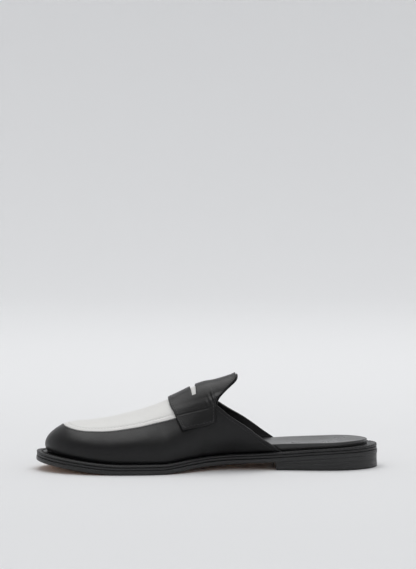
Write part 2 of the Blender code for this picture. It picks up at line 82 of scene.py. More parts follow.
# Fine forms of the sole, which the solids leave out
MIDSOLE_BEAD = 0.0005
MIDSOLE_ROUND = 1.6
WELT_TRIM = 0.0003
WELT_ROUND = 0.0011
WHEEL_MARK_DEPTH = 0.00022
WHEEL_MARK_WIDTH = 0.00035
WHEEL_MARK_AT_EDGE = 0.00015
WELT_JOINT = 0.1397
WELT_JOINT_WIDTH = 0.0003
WELT_JOINT_DEPTH = 0.0004
SOLE_CHANNEL = ((0.0062, 0.0), (0.0056, 0.00022), (0.0050, 0.00012), (0.0044, 0.0))
TOP_PIECE_THICK = 0.0032
LIFT_GROOVE = 0.00012
LIFT_LINE = ((0.0, -0.0004), (LIFT_GROOVE, -0.00015), (LIFT_GROOVE, 0.00015), (0.0, 0.0004))
FOOTBED_FLAT = 0.004
FOOTBED_UNDERCUT = 0.0006
FOOTBED_ROLL = 0.0008
HEEL_DISH = 0.0009
PEBBLE_SIZE = 0.0011

# Shares across the welt's bare rim, up the heel, of the footbed's roll and along and across its dish
WELT_ACROSS = (0.22, 0.34, 0.40, 0.46, 0.50, 0.54, 0.60, 0.66, 0.78, 0.90, 1.0)
THREAD_PLACE = 0.50
THREAD_CHANNEL = 0.10
THREAD_SINK = 0.45
THREAD_SEAT = 0.55
WHEEL_PLACE = 0.36
WHEEL_SPREAD = 0.22
LIFT_SHARES = (0.25, 0.44, 0.47, 0.50, 0.53, 0.75, 1.0)
LIFT_MIDDLE = 0.485
LIFT_REACH = 0.02
FOOTBED_FOOT = 0.8
HEEL_DISH_START = (0.02, 0.12)
HEEL_DISH_END = (0.20, 0.34)
HEEL_DISH_WIDTH = 0.45

# Sizes of the upper
UPPER_HEIGHT = 0.0617
LINING_THICK = 0.0008
LEATHER_THICK = 0.0016
APRON_THICK = 0.0010
SADDLE_THICK = 0.0014
APRON_END = 0.140
APRON_CLEAR = 0.00075
STEP_WIDTH = 0.0004
FOOT_LIP = 0.0006
TOE_SEAM_INSET = 0.0113
SADDLE_RAMP = 0.010
TONGUE_CLEAR = 0.0005
SLOT_LENGTH = 0.030
SLOT_WIDTH = 0.0046
SLOT_END_WIDTH = 0.0034
SLOT_BEND = 0.0006
SLOT_SHIFT = 0.0007
SLOT_END_SHIFT = 0.0004
GAP = 0.0003

# Fine forms of the upper, which the solids leave out
UPPER_OVERHANG = 0.0002
UPPER_EDGE_ROLL = 0.0006
SEAM_ROLL = 0.0007
FOOT_TUCK = 0.0003
FOOT_TUCK_HEIGHT = 0.0008
APRON_GROOVE_WIDTH = 0.0009
APRON_SWELL = 0.00025
APRON_SWELL_WIDTH = 0.0013
SADDLE_SEAM_DEPTH = 0.00012

# Steps from the mudguard's top down to the lining: width of each, and the leather left as a share
SHOULDER = ((0.0001, 0.55), (0.0002, 0.25), (STEP_WIDTH, 0.0))

# Rolled edges as shares of the leather's thickness, and levels of the saddle's forms
APRON_EDGE = 0.40
SADDLE_EDGE = 0.45
SLOT_EDGE = 0.30
SADDLE_LIFT_LEVELS = (1.17, 1.34)
SADDLE_SEAM_LEVEL = 1.025
SADDLE_SEAM_SPREAD = 0.018
SADDLE_SEAM_START = (0.484, 0.505)
CREASE_FADE_LEVELS = (1.40, 1.75)
CREASE_END = 0.08
CREASE_TAPER = 0.7

# Form of one stitch, as shares of its length and of the thread's width
STITCH_END = 0.09
STITCH_ARCH = 0.62
STITCH_SINK = 0.50
STITCH_THIN = 0.62
STITCH_FLAT = 0.80
STITCH_POWER = 0.45
TOPLINE_SEAM = 2.0

# Places as shares of the length, and shares of half the ball width for the spine
TOE_FOCUS = 0.843
HEEL_SPINE = 0.032
TOE_SPINE = -0.08
SLOT_PLACE = 0.543
TOE_SEAM_RISE = 0.397
TOE_LEAN = 41.0
TOE_SLOPE = 24.0
MEDIAL_TOE_POWER = 0.50
LATERAL_TOE_POWER = 0.54

# Handles of the two curves in each half section, as shares of the lengths that they span
WALL_FOOT_HANDLE = 0.53
WALL_TOP_HANDLE = 0.38
CROWN_FOOT_HANDLE = 0.40
CROWN_TOP_HANDLE = 0.42
LIP_LEVEL = 0.03

# Density of the fine pieces, and small steps for slopes, searches and welding
EDGE_TURNS = 480
WELT_TURNS = 2000
FEATHER_TURNS = 1440
HEEL_TURNS = 240
CAP_COLUMNS = 36
FLANK_COLUMNS = 140
TOE_COLUMNS = 90
LIP_ROWS = 3
WALL_ROWS = 62
LINING_ROWS = 18
APRON_ROWS = 60
TAB_ROWS = 40
SLOT_ROWS = 26
SHOULDER_ROWS = 46
FRONT_COLUMNS = 36
SLOT_COLUMNS = 8
REAR_COLUMNS = 90
REAR_CROWDING = 1.35
APRON_CROWDING = 1.6
EDGE_STEPS = 7
ROUND_STEPS = 4
FOOTBED_STEPS = 10
THREAD_SIDES = 8
THREAD_RINGS = 7
SEAM_MARGIN = 4
MEETING_STEPS = 36
MEETING_START = 0.9
LEVEL_STEPS = 400
TANGENT_STEP = 1e-4
TOE_STEP = 0.004
WELD = 1e-6

MEDIAL = -1
LATERAL = 1
OUTER, EDGE, INNER = 0, 1, 2

# Half widths of the sole along the foot, as shares of half the ball width
SOLE_WIDTH = (
    ("from_heel", "medial", "lateral"),
    (0.000, 0.590, 0.654),
    (0.160, 0.590, 0.654),
    (0.235, 0.542, 0.654),
    (0.290, 0.499, 0.654),
    (0.360, 0.441, 0.685),
    (0.425, 0.429, 0.741),
    (0.500, 0.546, 0.840),
    (0.550, 0.728, 0.920),
    (0.590, 0.856, 0.970),
    (0.640, 0.964, 1.000),
    (0.700, 1.000, 1.000),
    (1.000, 1.000, 1.000),
)

# Height of the outsole's underside: behind the ball a share of the heel, ahead a share of the toe spring
UNDERSIDE = (
    ("from_heel", "of_heel", "of_spring"),
    (0.000, 1.000, 0.000),
    (0.080, 0.955, None),
    (0.180, 0.830, None),
    (0.290, 0.600, None),
    (0.360, 0.485, None),
    (0.430, 0.410, None),
    (0.500, 0.330, None),
    (0.550, 0.235, None),
    (0.590, 0.100, None),
    (0.630, 0.000, None),
    (0.755, 0.000, 0.000),
    (0.800, None, 0.080),
    (0.840, None, 0.216),
    (0.880, None, 0.392),
    (0.920, None, 0.568),
    (0.960, None, 0.770),
    (1.000, 0.000, 1.000),
)

# Bare rim of the sole outside the upper, as a share of the rim at the toe
RIM_AT_TOE = 0.0092
RIM = (
    ("from_heel", "width"),
    (0.00, 0.239),
    (0.20, 0.239),
    (0.30, 0.283),
    (0.45, 0.326),
    (0.60, 0.478),
    (0.75, 0.565),
    (0.90, 0.717),
    (1.00, 1.000),
)

# Thickness of the footbed along the foot, as a share of its thickness at the heel
FOOTBED = (
    ("from_heel", "thickness"),
    (0.00, 0.80),
    (0.06, 0.97),
    (0.13, 1.00),
    (0.20, 1.15),
    (0.29, 1.45),
    (0.38, 1.50),
    (0.55, 1.15),
    (0.70, 0.90),
    (1.00, 0.90),
)

# Sections of the last: heights above the sole's top as shares of the upper's height, places across
# the foot as shares of half the ball width, the wall's lean at the sole and its slope at the seam
BODY = (
    ("from_heel", "ridge_rise", "seam_rise", "medial_seam", "lateral_seam", "ridge_y",
     "medial_lean", "lateral_lean", "slope"),
    (0.290, 1.2290, 0.7600, 0.470, 0.530, 0.050, 30.0, 12.0, 62.0),
    (0.350, 1.1300, 0.7250, 0.468, 0.520, None, None, None, None),
    (0.400, 1.0450, 0.7000, 0.447, 0.508, 0.045, 38.0, 14.0, 60.0),
    (0.414, 1.0120, 0.6900, 0.443, 0.505, None, None, None, None),
    (0.425, 0.9850, 0.6820, 0.440, 0.503, None, None, None, None),
    (0.437, 0.9690, None, None, None, None, None, None, None),
    (0.450, 0.9530, 0.6670, 0.432, 0.498, None, None, None, None),
    (0.478, 0.9220, 0.6450, 0.430, 0.500, None, None, None, None),
    (0.484, 0.9150, 0.6220, 0.443, 0.515, None, None, None, None),
    (0.490, 0.9080, 0.6000, 0.455, 0.528, 0.036, 36.0, 16.0, 58.0),
    (0.530, 0.8640, 0.5620, 0.477, 0.547, None, None, None, None),
    (0.570, 0.8000, 0.5390, 0.495, 0.561, 0.030, 26.0, 20.0, 53.0),
    (0.610, 0.7380, 0.5200, 0.524, 0.577, 0.025, None, None, 50.0),
    (0.650, 0.6665, 0.4860, 0.566, 0.591, 0.012, 21.0, 24.0, 45.0),
    (0.700, 0.5960, 0.4360, 0.599, 0.583, -0.008, None, None, 40.0),
    (0.750, 0.5430, 0.4020, 0.607, 0.545, -0.030, 22.0, 28.0, 37.0),
    (0.800, 0.4895, 0.3695, 0.587, 0.479, -0.050, None, None, 34.0),
    (0.843, 0.4490, 0.3485, 0.537, 0.413, -0.062, 28.0, 32.0, 31.0),
)

# Rear edges by height: shares of the upper's height against shares of the length
CORNER_RISE = 0.645
TOPLINE = (
    ("rise", "medial", "lateral"),
    (0.000, 0.290, 0.278),
    (0.090, 0.315, 0.300),
    (0.186, 0.344, 0.329),
    (0.373, 0.395, 0.385),
    (0.504, 0.439, 0.433),
    (0.645, 0.478, 0.478),
)
TONGUE_EDGE = (
    ("rise", "from_heel"),
    (0.645, 0.4780),
    (0.710, 0.4735),
    (0.780, 0.4605),
    (0.830, 0.4485),
    (0.885, 0.4340),
    (0.935, 0.4210),
    (0.970, 0.4165),
    (1.000, 0.4155),
    (1.040, 0.4175),
)
SADDLE_REAR = (
    ("rise", "from_heel"),
    (0.350, 0.4815),
    (0.550, 0.4792),
    (0.645, 0.4780),
)
SADDLE_FRONT = (
    ("rise", "from_heel"),
    (0.357, 0.5764),
    (0.504, 0.5924),
    (0.593, 0.6004),
    (0.680, 0.6100),
    (0.738, 0.6125),
)
TAB_FRONT = 0.64
TAB_REAR = 0.68

# Creases of the saddle on both sides, from the throat's corner: places as shares of the length and of
# the upper's height, half width and height in metres, and a negative height is a trough
SADDLE_CREASES = (
    ("from_heel", "rise", "to_from_heel", "to_rise", "half_width", "height"),
    (0.4920, 0.830, 0.4835, 0.705, 0.0008, 0.00034),
    (0.4945, 0.770, 0.4830, 0.640, 0.0009, -0.00040),
    (0.4995, 0.760, 0.4905, 0.650, 0.0010, 0.00022),
    (0.5035, 0.730, 0.4965, 0.640, 0.0010, -0.00016),
    (0.4870, 0.790, 0.4815, 0.690, 0.0007, -0.00022),
    (0.5080, 0.700, 0.5010, 0.630, 0.0011, 0.00014),
)

# Long soft creases of the quarters and the mudguard, in the same form
UPPER_CREASES = (
    ("from_heel", "rise", "to_from_heel", "to_rise", "half_width", "height"),
    (0.4300, 0.380, 0.5200, 0.240, 0.0050, -0.00035),
    (0.4150, 0.300, 0.4900, 0.140, 0.0060, 0.00040),
    (0.6300, 0.380, 0.7100, 0.180, 0.0060, -0.00045),
    (0.6700, 0.360, 0.7450, 0.140, 0.0055, 0.00040),
    (0.7900, 0.270, 0.8600, 0.150, 0.0060, -0.00030),
)

# The photograph's camera: degrees round and above the shoe, and the pixel where the shoe's origin shows
CAMERA_AZIMUTH = -2.3
CAMERA_ELEVATION = 8.2
CAMERA_FOCAL_PIXELS = 1896.7
CAMERA_PIXELS_PER_METRE = 1233.0
FRAME_WIDTH = 416
FRAME_HEIGHT = 569
ORIGIN_PIXEL = (207.5, 466.3)
SENSOR_WIDTH_MM = 36.0

# Light: the glow of the far floor and its fading up the backdrop, the room, and the softbox in watts
FLOOR_GLOW = 0.19
GLOW_START = 0.3
WALL_FADE = 0.92
WALL_FADE_HEIGHT = 0.75
WORLD_LIGHT = 0.32
TOP_LIGHT = 37.0
TOP_LIGHT_PLACE = (0.1, 0.45, 2.2)
TOP_LIGHT_SIZE = 2.4
TOP_LIGHT_AIM = (0.0, 0.0, 0.04)

# The floor: flat out to a radius, then bent up into a backdrop
FLOOR_RADIUS = 2.2
FLOOR_BEND = 1.4
FLOOR_TOP = 3.2
FLOOR_DROP = 0.0001
FLOOR_TURNS = 96
FLOOR_STEPS = 12


def length_setting(name, description, default, least):
    """A length that the panel shows."""
    return FloatProperty(
        name=name, description=description, default=default, min=least, unit="LENGTH", precision=5,
    )


def colour_setting(name, description, default):
    """A colour that the panel shows."""
    return FloatVectorProperty(
        name=name, description=description, default=default, size=3, min=0.0, max=1.0, subtype="COLOR",
    )


class LoaferSizes(bpy.types.PropertyGroup):
    """Sizes of the fine details."""

    edge_round: length_setting(
        "Sole edge rounding", "Radius of the sole layers' edges", 0.0006, 0.0001,
    )
    thread_width: length_setting(
        "Thread width", "Width of the thread in the upper's seams", 0.00055, 0.0002,
    )
    thread_pitch: length_setting(
        "Stitch length", "Length of one stitch in the upper's seams", 0.0026, 0.001,
    )
    welt_thread_width: length_setting(
        "Welt thread width", "Width of the thread on the welt", 0.0012, 0.0003,
    )
    welt_pitch: length_setting(
        "Welt stitch length", "Length of one stitch on the welt", 0.0036, 0.001,
    )
    seam_inset: length_setting(
        "Seam inset", "Distance of a seam from the edge that it holds", 0.0017, 0.0005,
    )
    apron_groove_inset: length_setting(
        "Apron groove inset", "Distance of the stitched groove from the apron's edge", 0.0034, 0.001,
    )
    apron_groove_depth: length_setting(
        "Apron groove depth", "Depth of the stitched groove in the apron", 0.00032, 0.0,
    )
    crease_scale: FloatProperty(
        name="Crease height", description="Share of the hand-placed creases' height",
        default=1.0, min=0.0, max=2.0, subtype="FACTOR",
    )


class LoaferColours(bpy.types.PropertyGroup):
    """Colours of the finishes."""

    black_leather: colour_setting(
        "Black leather", "Smooth calf of the upper and the saddle", (0.0036, 0.0036, 0.0040),
    )
    lining: colour_setting(
        "Lining", "Leather inside the upper", (0.0105, 0.0102, 0.0100),
    )
    white_leather: colour_setting(
        "White leather", "The apron", (0.760, 0.755, 0.735),
    )
    footbed: colour_setting(
        "Footbed leather", "The insole", (0.0120, 0.0118, 0.0115),
    )
    sole_edge: colour_setting(
        "Sole edge", "Dyed edges of the sole's layers and the heel", (0.0062, 0.0062, 0.0066),
    )
    rubber: colour_setting(
        "Rubber", "The heel's top piece", (0.016, 0.016, 0.016),
    )
    sole_leather: colour_setting(
        "Sole leather", "The bare leather underneath", (0.480, 0.235, 0.095),
    )
    floor: colour_setting(
        "Floor", "The pale floor", (0.800, 0.805, 0.815),
    )


def read(table, name, at):
    """Value of a table's column on the smooth curve through its rows, which never overshoots them."""
    names, *rows = table
    column = names.index(name)
    known = [(row[0], row[column]) for row in rows if row[column] is not None]
    places, values = np.array(known, float).T
    step = np.diff(places)
    rate = np.diff(values) / step
    slope = np.concatenate([rate[:1], np.zeros(len(rate) - 1), rate[-1:]])
    same_way = rate[:-1] * rate[1:] > 0
    before = 2 * step[1:] + step[:-1]
    after = step[1:] + 2 * step[:-1]
    with np.errstate(divide="ignore", invalid="ignore"):
        mean = (before + after) / (before / rate[:-1] + after / rate[1:])
    slope[1:-1] = np.where(same_way, mean, 0.0)
    at = np.clip(at, places[0], places[-1])
    left = np.clip(np.searchsorted(places, at) - 1, 0, len(step) - 1)
    span = step[left]
    share = (at - places[left]) / span
    rest = 1 - share
    return (
        (1 + 2 * share) * rest**2 * values[left]
        + share * rest**2 * span * slope[left]
        + share**2 * (3 - 2 * share) * values[left + 1]
        - share**2 * rest * span * slope[left + 1]
    )


def bell(distance, half_width):
    """Soft hump: 1 at distance 0, fading out past the half width."""
    return np.exp(-((distance / half_width) ** 2))


def soft_step(value, low, high):
    """0 below low, 1 above high, and smooth between them."""
    share = np.clip((value - low) / (high - low), 0, 1)
    return share * share * (3 - 2 * share)


def column_for(side):
    """Name of the table column that serves one side of the foot."""
    return "medial" if side == MEDIAL else "lateral"


def to_x(from_heel):
    """World X of a place measured from the back of the heel."""
    return LENGTH / 2 - from_heel


def distance_from_heel(points):
    """Distance of each point from the back of the heel."""
    return LENGTH / 2 - points[..., 0]


def underside(from_heel):
    """Height of the outsole's lower face."""
    share = np.asarray(from_heel) / LENGTH
    heel = HEEL_HEIGHT * read(UNDERSIDE, "of_heel", share)
    return heel + TOE_SPRING * read(UNDERSIDE, "of_spring", share)


def midsole_floor(from_heel):
    """Height of the midsole's lower face."""
    return underside(from_heel) + OUTSOLE_THICK + GAP


def welt_floor(from_heel):
    """Height of the welt's lower face."""
    return midsole_floor(from_heel) + MIDSOLE_THICK + GAP


def sole_top(from_heel):
    """Height of the welt's upper face, which the upper stands on."""
    return welt_floor(from_heel) + WELT_THICK


def rim(from_heel):
    """Width of the bare rim between the sole's edge and the upper."""
    return RIM_AT_TOE * read(RIM, "width", np.asarray(from_heel) / LENGTH)


def sole_edge(turn):
    """Distance from the heel and place across of the sole's edge: turn 0 is the back of the heel,
    pi the tip of the toe, and the medial side comes first."""
    half = BALL_WIDTH / 2
    from_heel = LENGTH * (1 - np.cos(turn)) / 2
    share = from_heel / LENGTH
    medial = np.sin(turn) > 0
    width = np.where(medial, -read(SOLE_WIDTH, "medial", share), read(SOLE_WIDTH, "lateral", share))
    across = half * width
    back = np.clip(1 - from_heel / HEEL_ROUND_LENGTH, 0, 1)
    across = half * HEEL_SPINE + (across - half * HEEL_SPINE) * np.sqrt(1 - back**2)
    toe_length = np.where(medial, MEDIAL_TOE_LENGTH, LATERAL_TOE_LENGTH)
    power = np.where(medial, MEDIAL_TOE_POWER, LATERAL_TOE_POWER)
    front = np.clip(1 - (LENGTH - from_heel) / toe_length, 0, 1)
    across = half * TOE_SPINE + (across - half * TOE_SPINE) * (1 - front**2) ** power
    return np.stack([from_heel, across], -1)


def inset_edge(turn, inset):
    """The sole's edge moved inwards; inset is a length, a list of them or a function of the distance
    from the heel."""
    edge = sole_edge(turn)
    along = sole_edge(turn + TANGENT_STEP) - sole_edge(turn - TANGENT_STEP)
    along /= np.linalg.norm(along, axis=-1, keepdims=True)
    inwards = np.stack([-along[..., 1], along[..., 0]], -1)
    amount = inset(edge[..., 0]) if callable(inset) else inset
    return edge + inwards * np.reshape(amount, (-1, 1))


def ring(turn, inset, height):
    """Points in space of an inset edge at a height given by the distance from the heel."""
    from_heel, across = inset_edge(turn, inset).T
    return np.stack([to_x(from_heel), across, height(from_heel) + 0 * across], -1)


def feather_inset(from_heel):
    """Inset of the line where the lining's outer face meets the sole."""
    return rim(from_heel) + LEATHER_THICK


FOCUS = TOE_FOCUS * LENGTH
FEATHER = inset_edge(np.linspace(0, 2 * math.pi, FEATHER_TURNS, endpoint=False), feather_inset)


def feather_across(from_heel, side):
    """Place across the foot of the feather line on one side."""
    half = FEATHER_TURNS // 2
    line = FEATHER[1:half] if side == MEDIAL else FEATHER[:half:-1]
    return np.interp(from_heel, line[:, 0], line[:, 1])


def side_rib(from_heel, side):
    """Guide points and directions of the last's half section at a distance from the heel."""
    from_heel = np.asarray(from_heel, float)
    share = from_heel / LENGTH
    half = BALL_WIDTH / 2
    name = column_for(side)
    floor = sole_top(from_heel)
    x = to_x(from_heel)
    seam_z = floor + UPPER_HEIGHT * read(BODY, "seam_rise", share)
    ridge_z = floor + UPPER_HEIGHT * read(BODY, "ridge_rise", share)
    return {
        "feather": np.stack([x, feather_across(from_heel, side), floor], -1),
        "seam": np.stack([x, side * half * read(BODY, name + "_seam", share), seam_z], -1),
        "ridge": np.stack([x, half * read(BODY, "ridge_y", share), ridge_z], -1),
        "out": np.stack([0 * x, side + 0 * x, 0 * x], -1),
        "lean": np.radians(read(BODY, name + "_lean", share)),
        "slope": np.radians(read(BODY, "slope", share)),
        "fall": 0 * x,
    }


def toe_rib(angle):
    """The same guides on a ray from the toe's focus: 0 points medially, pi/2 to the toe tip."""
    angle = np.asarray(angle, float)
    forward = np.sin(angle)
    blend = forward**2
    small = TOE_STEP * LENGTH
    out = np.stack([-forward, -np.cos(angle), 0 * angle], -1)
    centre = side_rib(FOCUS, MEDIAL)["ridge"]
    from_centre = FEATHER * (-1, 1) + (to_x(0), 0) - centre[:2]
    around = np.arctan2(-from_centre[:, 0], -from_centre[:, 1])
    around = np.where(around < -math.pi / 2, around + 2 * math.pi, around)
    ahead = np.flatnonzero(FEATHER[:, 0] > FOCUS - 2 * small)
    reach = np.interp(angle, around[ahead], np.linalg.norm(from_centre[ahead], axis=1))
    front_reach = np.interp(math.pi / 2, around[ahead], np.linalg.norm(from_centre[ahead], axis=1))
    guides = {}
    for side in (MEDIAL, LATERAL):
        rib = side_rib(FOCUS, side)
        behind = side_rib(FOCUS - small, side)
        side_reach = abs(rib["seam"][1] - centre[1])
        taper = (abs(behind["seam"][1]) - abs(rib["seam"][1])) / small
        seam_reach = side_reach + (front_reach - TOE_SEAM_INSET - side_reach) * blend
        seam_reach = seam_reach - taper * side_reach * forward * (1 - forward)
        toe_seam_z = sole_top(FOCUS) + UPPER_HEIGHT * TOE_SEAM_RISE
        guides[side] = {
            "seam_reach": seam_reach,
            "seam_z": rib["seam"][2] + (toe_seam_z - rib["seam"][2]) * blend,
            "lean": rib["lean"] + (math.radians(TOE_LEAN) - rib["lean"]) * blend,
            "slope": rib["slope"] + (math.radians(TOE_SLOPE) - rib["slope"]) * blend,
            "fall": (behind["ridge"][2] - rib["ridge"][2]) / small * forward,
        }
    medial = angle < math.pi / 2
    pick = {key: np.where(medial, guides[MEDIAL][key], guides[LATERAL][key]) for key in guides[MEDIAL]}
    feather = centre + out * reach[..., None]
    outer_foot = feather + out * LEATHER_THICK
    feather[..., 2] = sole_top(to_x(outer_foot[..., 0]))
    seam = centre + out * pick["seam_reach"][..., None]
    seam[..., 2] = pick["seam_z"]
    return {
        "feather": feather,
        "seam": seam,
        "ridge": centre + 0 * out,
        "out": out,
        "lean": pick["lean"],
        "slope": pick["slope"],
        "fall": pick["fall"],
    }


def bezier(start, first, second, end, share):
    """Points of a cubic curve."""
    share = share[..., None]
    rest = 1 - share
    return (
        start * rest**3
        + 3 * first * share * rest**2
        + 3 * second * share**2 * rest
        + end * share**3
    )


def on_rib(rib, level, past=0.0):
    """A point of the last's half section: level 0 is the feather, 1 the seam and 2 the ridge.
    Above the seam the points are pushed on by `past` metres, fading out towards the ridge."""
    up = np.array([0.0, 0.0, 1.0])
    level = level + 0 * rib["lean"]
    lean = rib["lean"][..., None]
    slope = rib["slope"][..., None]
    root = rib["feather"] + up * FOOT_LIP
    seam = rib["seam"]
    ridge = rib["ridge"]
    out = rib["out"]
    rising = out * np.sin(lean) + up * np.cos(lean)
    cresting = -out * np.cos(slope) + up * np.sin(slope)
    height = (seam - root)[..., 2:]
    chord = np.linalg.norm(seam - root, axis=-1, keepdims=True)
    span = np.linalg.norm(ridge - seam, axis=-1, keepdims=True)
    wall = bezier(
        root,
        root + rising * height * WALL_FOOT_HANDLE,
        seam - cresting * chord * WALL_TOP_HANDLE,
        seam,
        np.clip((level - LIP_LEVEL) / (1 - LIP_LEVEL), 0, 1),
    )
    crown_share = np.clip(level - 1, 0, 1)
    crown_share = crown_share + (1 - crown_share) * past / (3 * CROWN_FOOT_HANDLE * span[..., 0])
    falling = out - up * rib["fall"][..., None]
    crown = bezier(
        seam,
        seam + cresting * span * CROWN_FOOT_HANDLE,
        ridge + falling * span * CROWN_TOP_HANDLE,
        ridge,
        crown_share,
    )
    lip = rib["feather"] + up * FOOT_LIP * np.clip(level / LIP_LEVEL, 0, 1)[..., None]
    lower = np.where((level < LIP_LEVEL)[..., None], lip, wall)
    return np.where((level + past > 1)[..., None], crown, lower)


def rear_edge(rise, side):
    """Rear end of the upper at a height: the topline, and the tongue's edge above it."""
    below = read(TOPLINE, column_for(side), rise)
    above = read(TONGUE_EDGE, "from_heel", rise)
    return np.where(rise < CORNER_RISE, below, above)


def saddle_rear_edge(rise, side):
    """Rear end of the saddle at a height: the tab's edge, and the tongue's above it."""
    below = read(SADDLE_REAR, "from_heel", rise)
    return np.where(rise < CORNER_RISE, below, rear_edge(rise, side))


def saddle_front_edge(rise, side):
    """Front end of the saddle at a height, the same on both sides."""
    return read(SADDLE_FRONT, "from_heel", rise)


def meets(edge, side, level):
    """Distance from the heel at which a line of constant level meets an edge."""
    level = np.asarray(level, float)
    near = 0 * level + LENGTH * BODY[1][0] * MEETING_START
    far = 0 * level + FOCUS
    for _ in range(MEETING_STEPS):
        middle = (near + far) / 2
        rise = (on_rib(side_rib(middle, side), level)[..., 2] - sole_top(middle)) / UPPER_HEIGHT
        beyond = middle > LENGTH * edge(rise, side)
        far = np.where(beyond, middle, far)
        near = np.where(beyond, near, middle)
    return (near + far) / 2


def around_toe(levels, rear, past):
    """Grid of points on the last, a row for each level, from the lateral rear round the toe to the
    medial rear. rear(side, levels) is where each row starts and ends; past is a value for each row."""
    level = levels[:, None]
    push = past[:, None]
    shares = np.linspace(0, 1, FLANK_COLUMNS + 1) ** REAR_CROWDING
    flanks = {}
    for side in (MEDIAL, LATERAL):
        start = rear(side, levels)[:, None]
        flanks[side] = on_rib(side_rib(start + (FOCUS - start) * shares, side), level, push)
    angles = np.linspace(math.pi, 0, TOE_COLUMNS + 1)[1:-1]
    fan = toe_rib(angles[None, :] + 0 * level)
    toe = on_rib(fan, level, push)
    return np.concatenate([flanks[LATERAL], toe, flanks[MEDIAL][:, ::-1]], axis=1)


def normalised(vectors):
    """The same directions at length 1."""
    return vectors / np.maximum(np.linalg.norm(vectors, axis=-1, keepdims=True), 1e-12)


def grid_normals(points, folded=False):
    """Normals of a grid that point away from the foot. In a folded grid the last row is the ridge:
    its two halves are the same points, and the toe's columns end in one point."""
    normals = normalised(np.cross(np.gradient(points, axis=1), np.gradient(points, axis=0)))
    centre = np.array([points[..., 0].mean(), points[..., 1].mean(), points[..., 2].min()])
    if np.sum(normals * (points - centre)) < 0:
        normals = -normals
    if folded:
        last = normals[-2].copy()
        toe = slice(FLANK_COLUMNS, FLANK_COLUMNS + TOE_COLUMNS + 1)
        last[toe] = last[toe].mean(axis=0)
        normals[-1] = normalised(last + last[::-1])
    return normals


def line_inside(points, normals, distance):
    """The line on a grid at a distance from its first column, with its normals."""
    steps = np.linalg.norm(np.diff(points, axis=1), axis=-1)
    reach = np.concatenate([np.zeros((len(points), 1)), np.cumsum(steps, axis=1)], axis=1)
    after = np.argmax(reach > distance, axis=1)
    rows = np.arange(len(points))
    share = (distance - reach[rows, after - 1]) / (reach[rows, after] - reach[rows, after - 1])
    lines = []
    for field in (points, normals):
        lines.append(field[rows, after - 1] + (field[rows, after] - field[rows, after - 1]) * share[:, None])
    return lines


def creases(points, table):
    """Height of the listed creases at each point, seen from the side."""
    from_heel = distance_from_heel(points)
    place = np.stack([from_heel, points[..., 2] - sole_top(from_heel)], -1)
    total = np.zeros(points.shape[:-1])
    for row in table[1:]:
        start = np.array([row[0] * LENGTH, row[1] * UPPER_HEIGHT])
        end = np.array([row[2] * LENGTH, row[3] * UPPER_HEIGHT])
        along = (place - start) @ (end - start) / np.sum((end - start) ** 2)
        nearest = start + np.clip(along, 0, 1)[..., None] * (end - start)
        distance = np.linalg.norm(place - nearest, axis=-1)
        taper = np.sin(math.pi * np.clip(along, CREASE_END, 1 - CREASE_END)) ** CREASE_TAPER
        total += row[5] * taper * bell(distance, row[4])
    return total


def sideways(grid):
    """The same grid with its columns as rows."""
    return grid.transpose(1, 0, 2)


class Build:
    """Points and faces of one piece, gathered grid by grid."""

    def __init__(self):
        self.points = []
        self.faces = []
        self.finishes = []
        self.count = 0

    def add_points(self, points):
        """Adds points and returns their numbers in an array of the same form."""
        points = np.asarray(points, float)
        numbers = np.arange(self.count, self.count + points[..., 0].size)
        self.points.append(points.reshape(-1, 3))
        self.count += points[..., 0].size
        return numbers.reshape(points.shape[:-1])

    def add_faces(self, corners, finish=0):
        """Adds faces from an array whose last axis holds each face's corners."""
        corners = corners.reshape(-1, corners.shape[-1])
        self.faces.extend(corners.tolist())
        self.finishes.extend([finish] * len(corners))

    def add_grid(self, numbers, finish=0, wrap_columns=False, keep=None):
        """Adds a grid's faces; keep is a mask of the cells to fill."""
        if wrap_columns:
            numbers = np.concatenate([numbers, numbers[:, :1]], axis=1)
        quads = np.stack([numbers[:-1, :-1], numbers[:-1, 1:], numbers[1:, 1:], numbers[1:, :-1]], -1)
        self.add_faces(quads if keep is None else quads[keep], finish)

    def finish(self, name, finishes, slot, *nodes, angle=50):
        """Makes the piece, smooth-shaded, with its finishes, and lets it stand for its solids."""
        mesh = bpy.data.meshes.new(name)
        mesh.from_pydata(np.concatenate(self.points), [], self.faces)
        mesh.polygons.foreach_set("material_index", self.finishes)
        bm = bmesh.new()
        bm.from_mesh(mesh)
        bmesh.ops.remove_doubles(bm, verts=bm.verts, dist=WELD)
        bmesh.ops.recalc_face_normals(bm, faces=bm.faces)
        bm.to_mesh(mesh)
        bm.free()
        mesh.shade_smooth()
        mesh.set_sharp_from_angle(angle=math.radians(angle))
        for material in finishes:
            mesh.materials.append(material)
        piece = bpy.data.objects.new(name, mesh)
        bpy.context.scene.collection.objects.link(piece)
        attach(piece, "root")
        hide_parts(*nodes)
        return piece


def open_sides(keep):
    """Sides of a grid's kept cells that no other cell closes: two corners and the step outwards."""
    rows, columns = keep.shape
    padded = np.pad(keep, 1)
    around = (
        ((-1, 0), (0, 0), (0, 1)),
        ((0, 1), (0, 1), (1, 1)),
        ((1, 0), (1, 1), (1, 0)),
        ((0, -1), (1, 0), (0, 0)),
    )
    sides = []
    for step, start, end in around:
        beyond = padded[1 + step[0]:1 + step[0] + rows, 1 + step[1]:1 + step[1] + columns]
        for row, column in np.argwhere(keep & ~beyond):
            sides.append((
                (row + start[0], column + start[1]),
                (row + end[0], column + end[1]),
                step,
            ))
    return sides


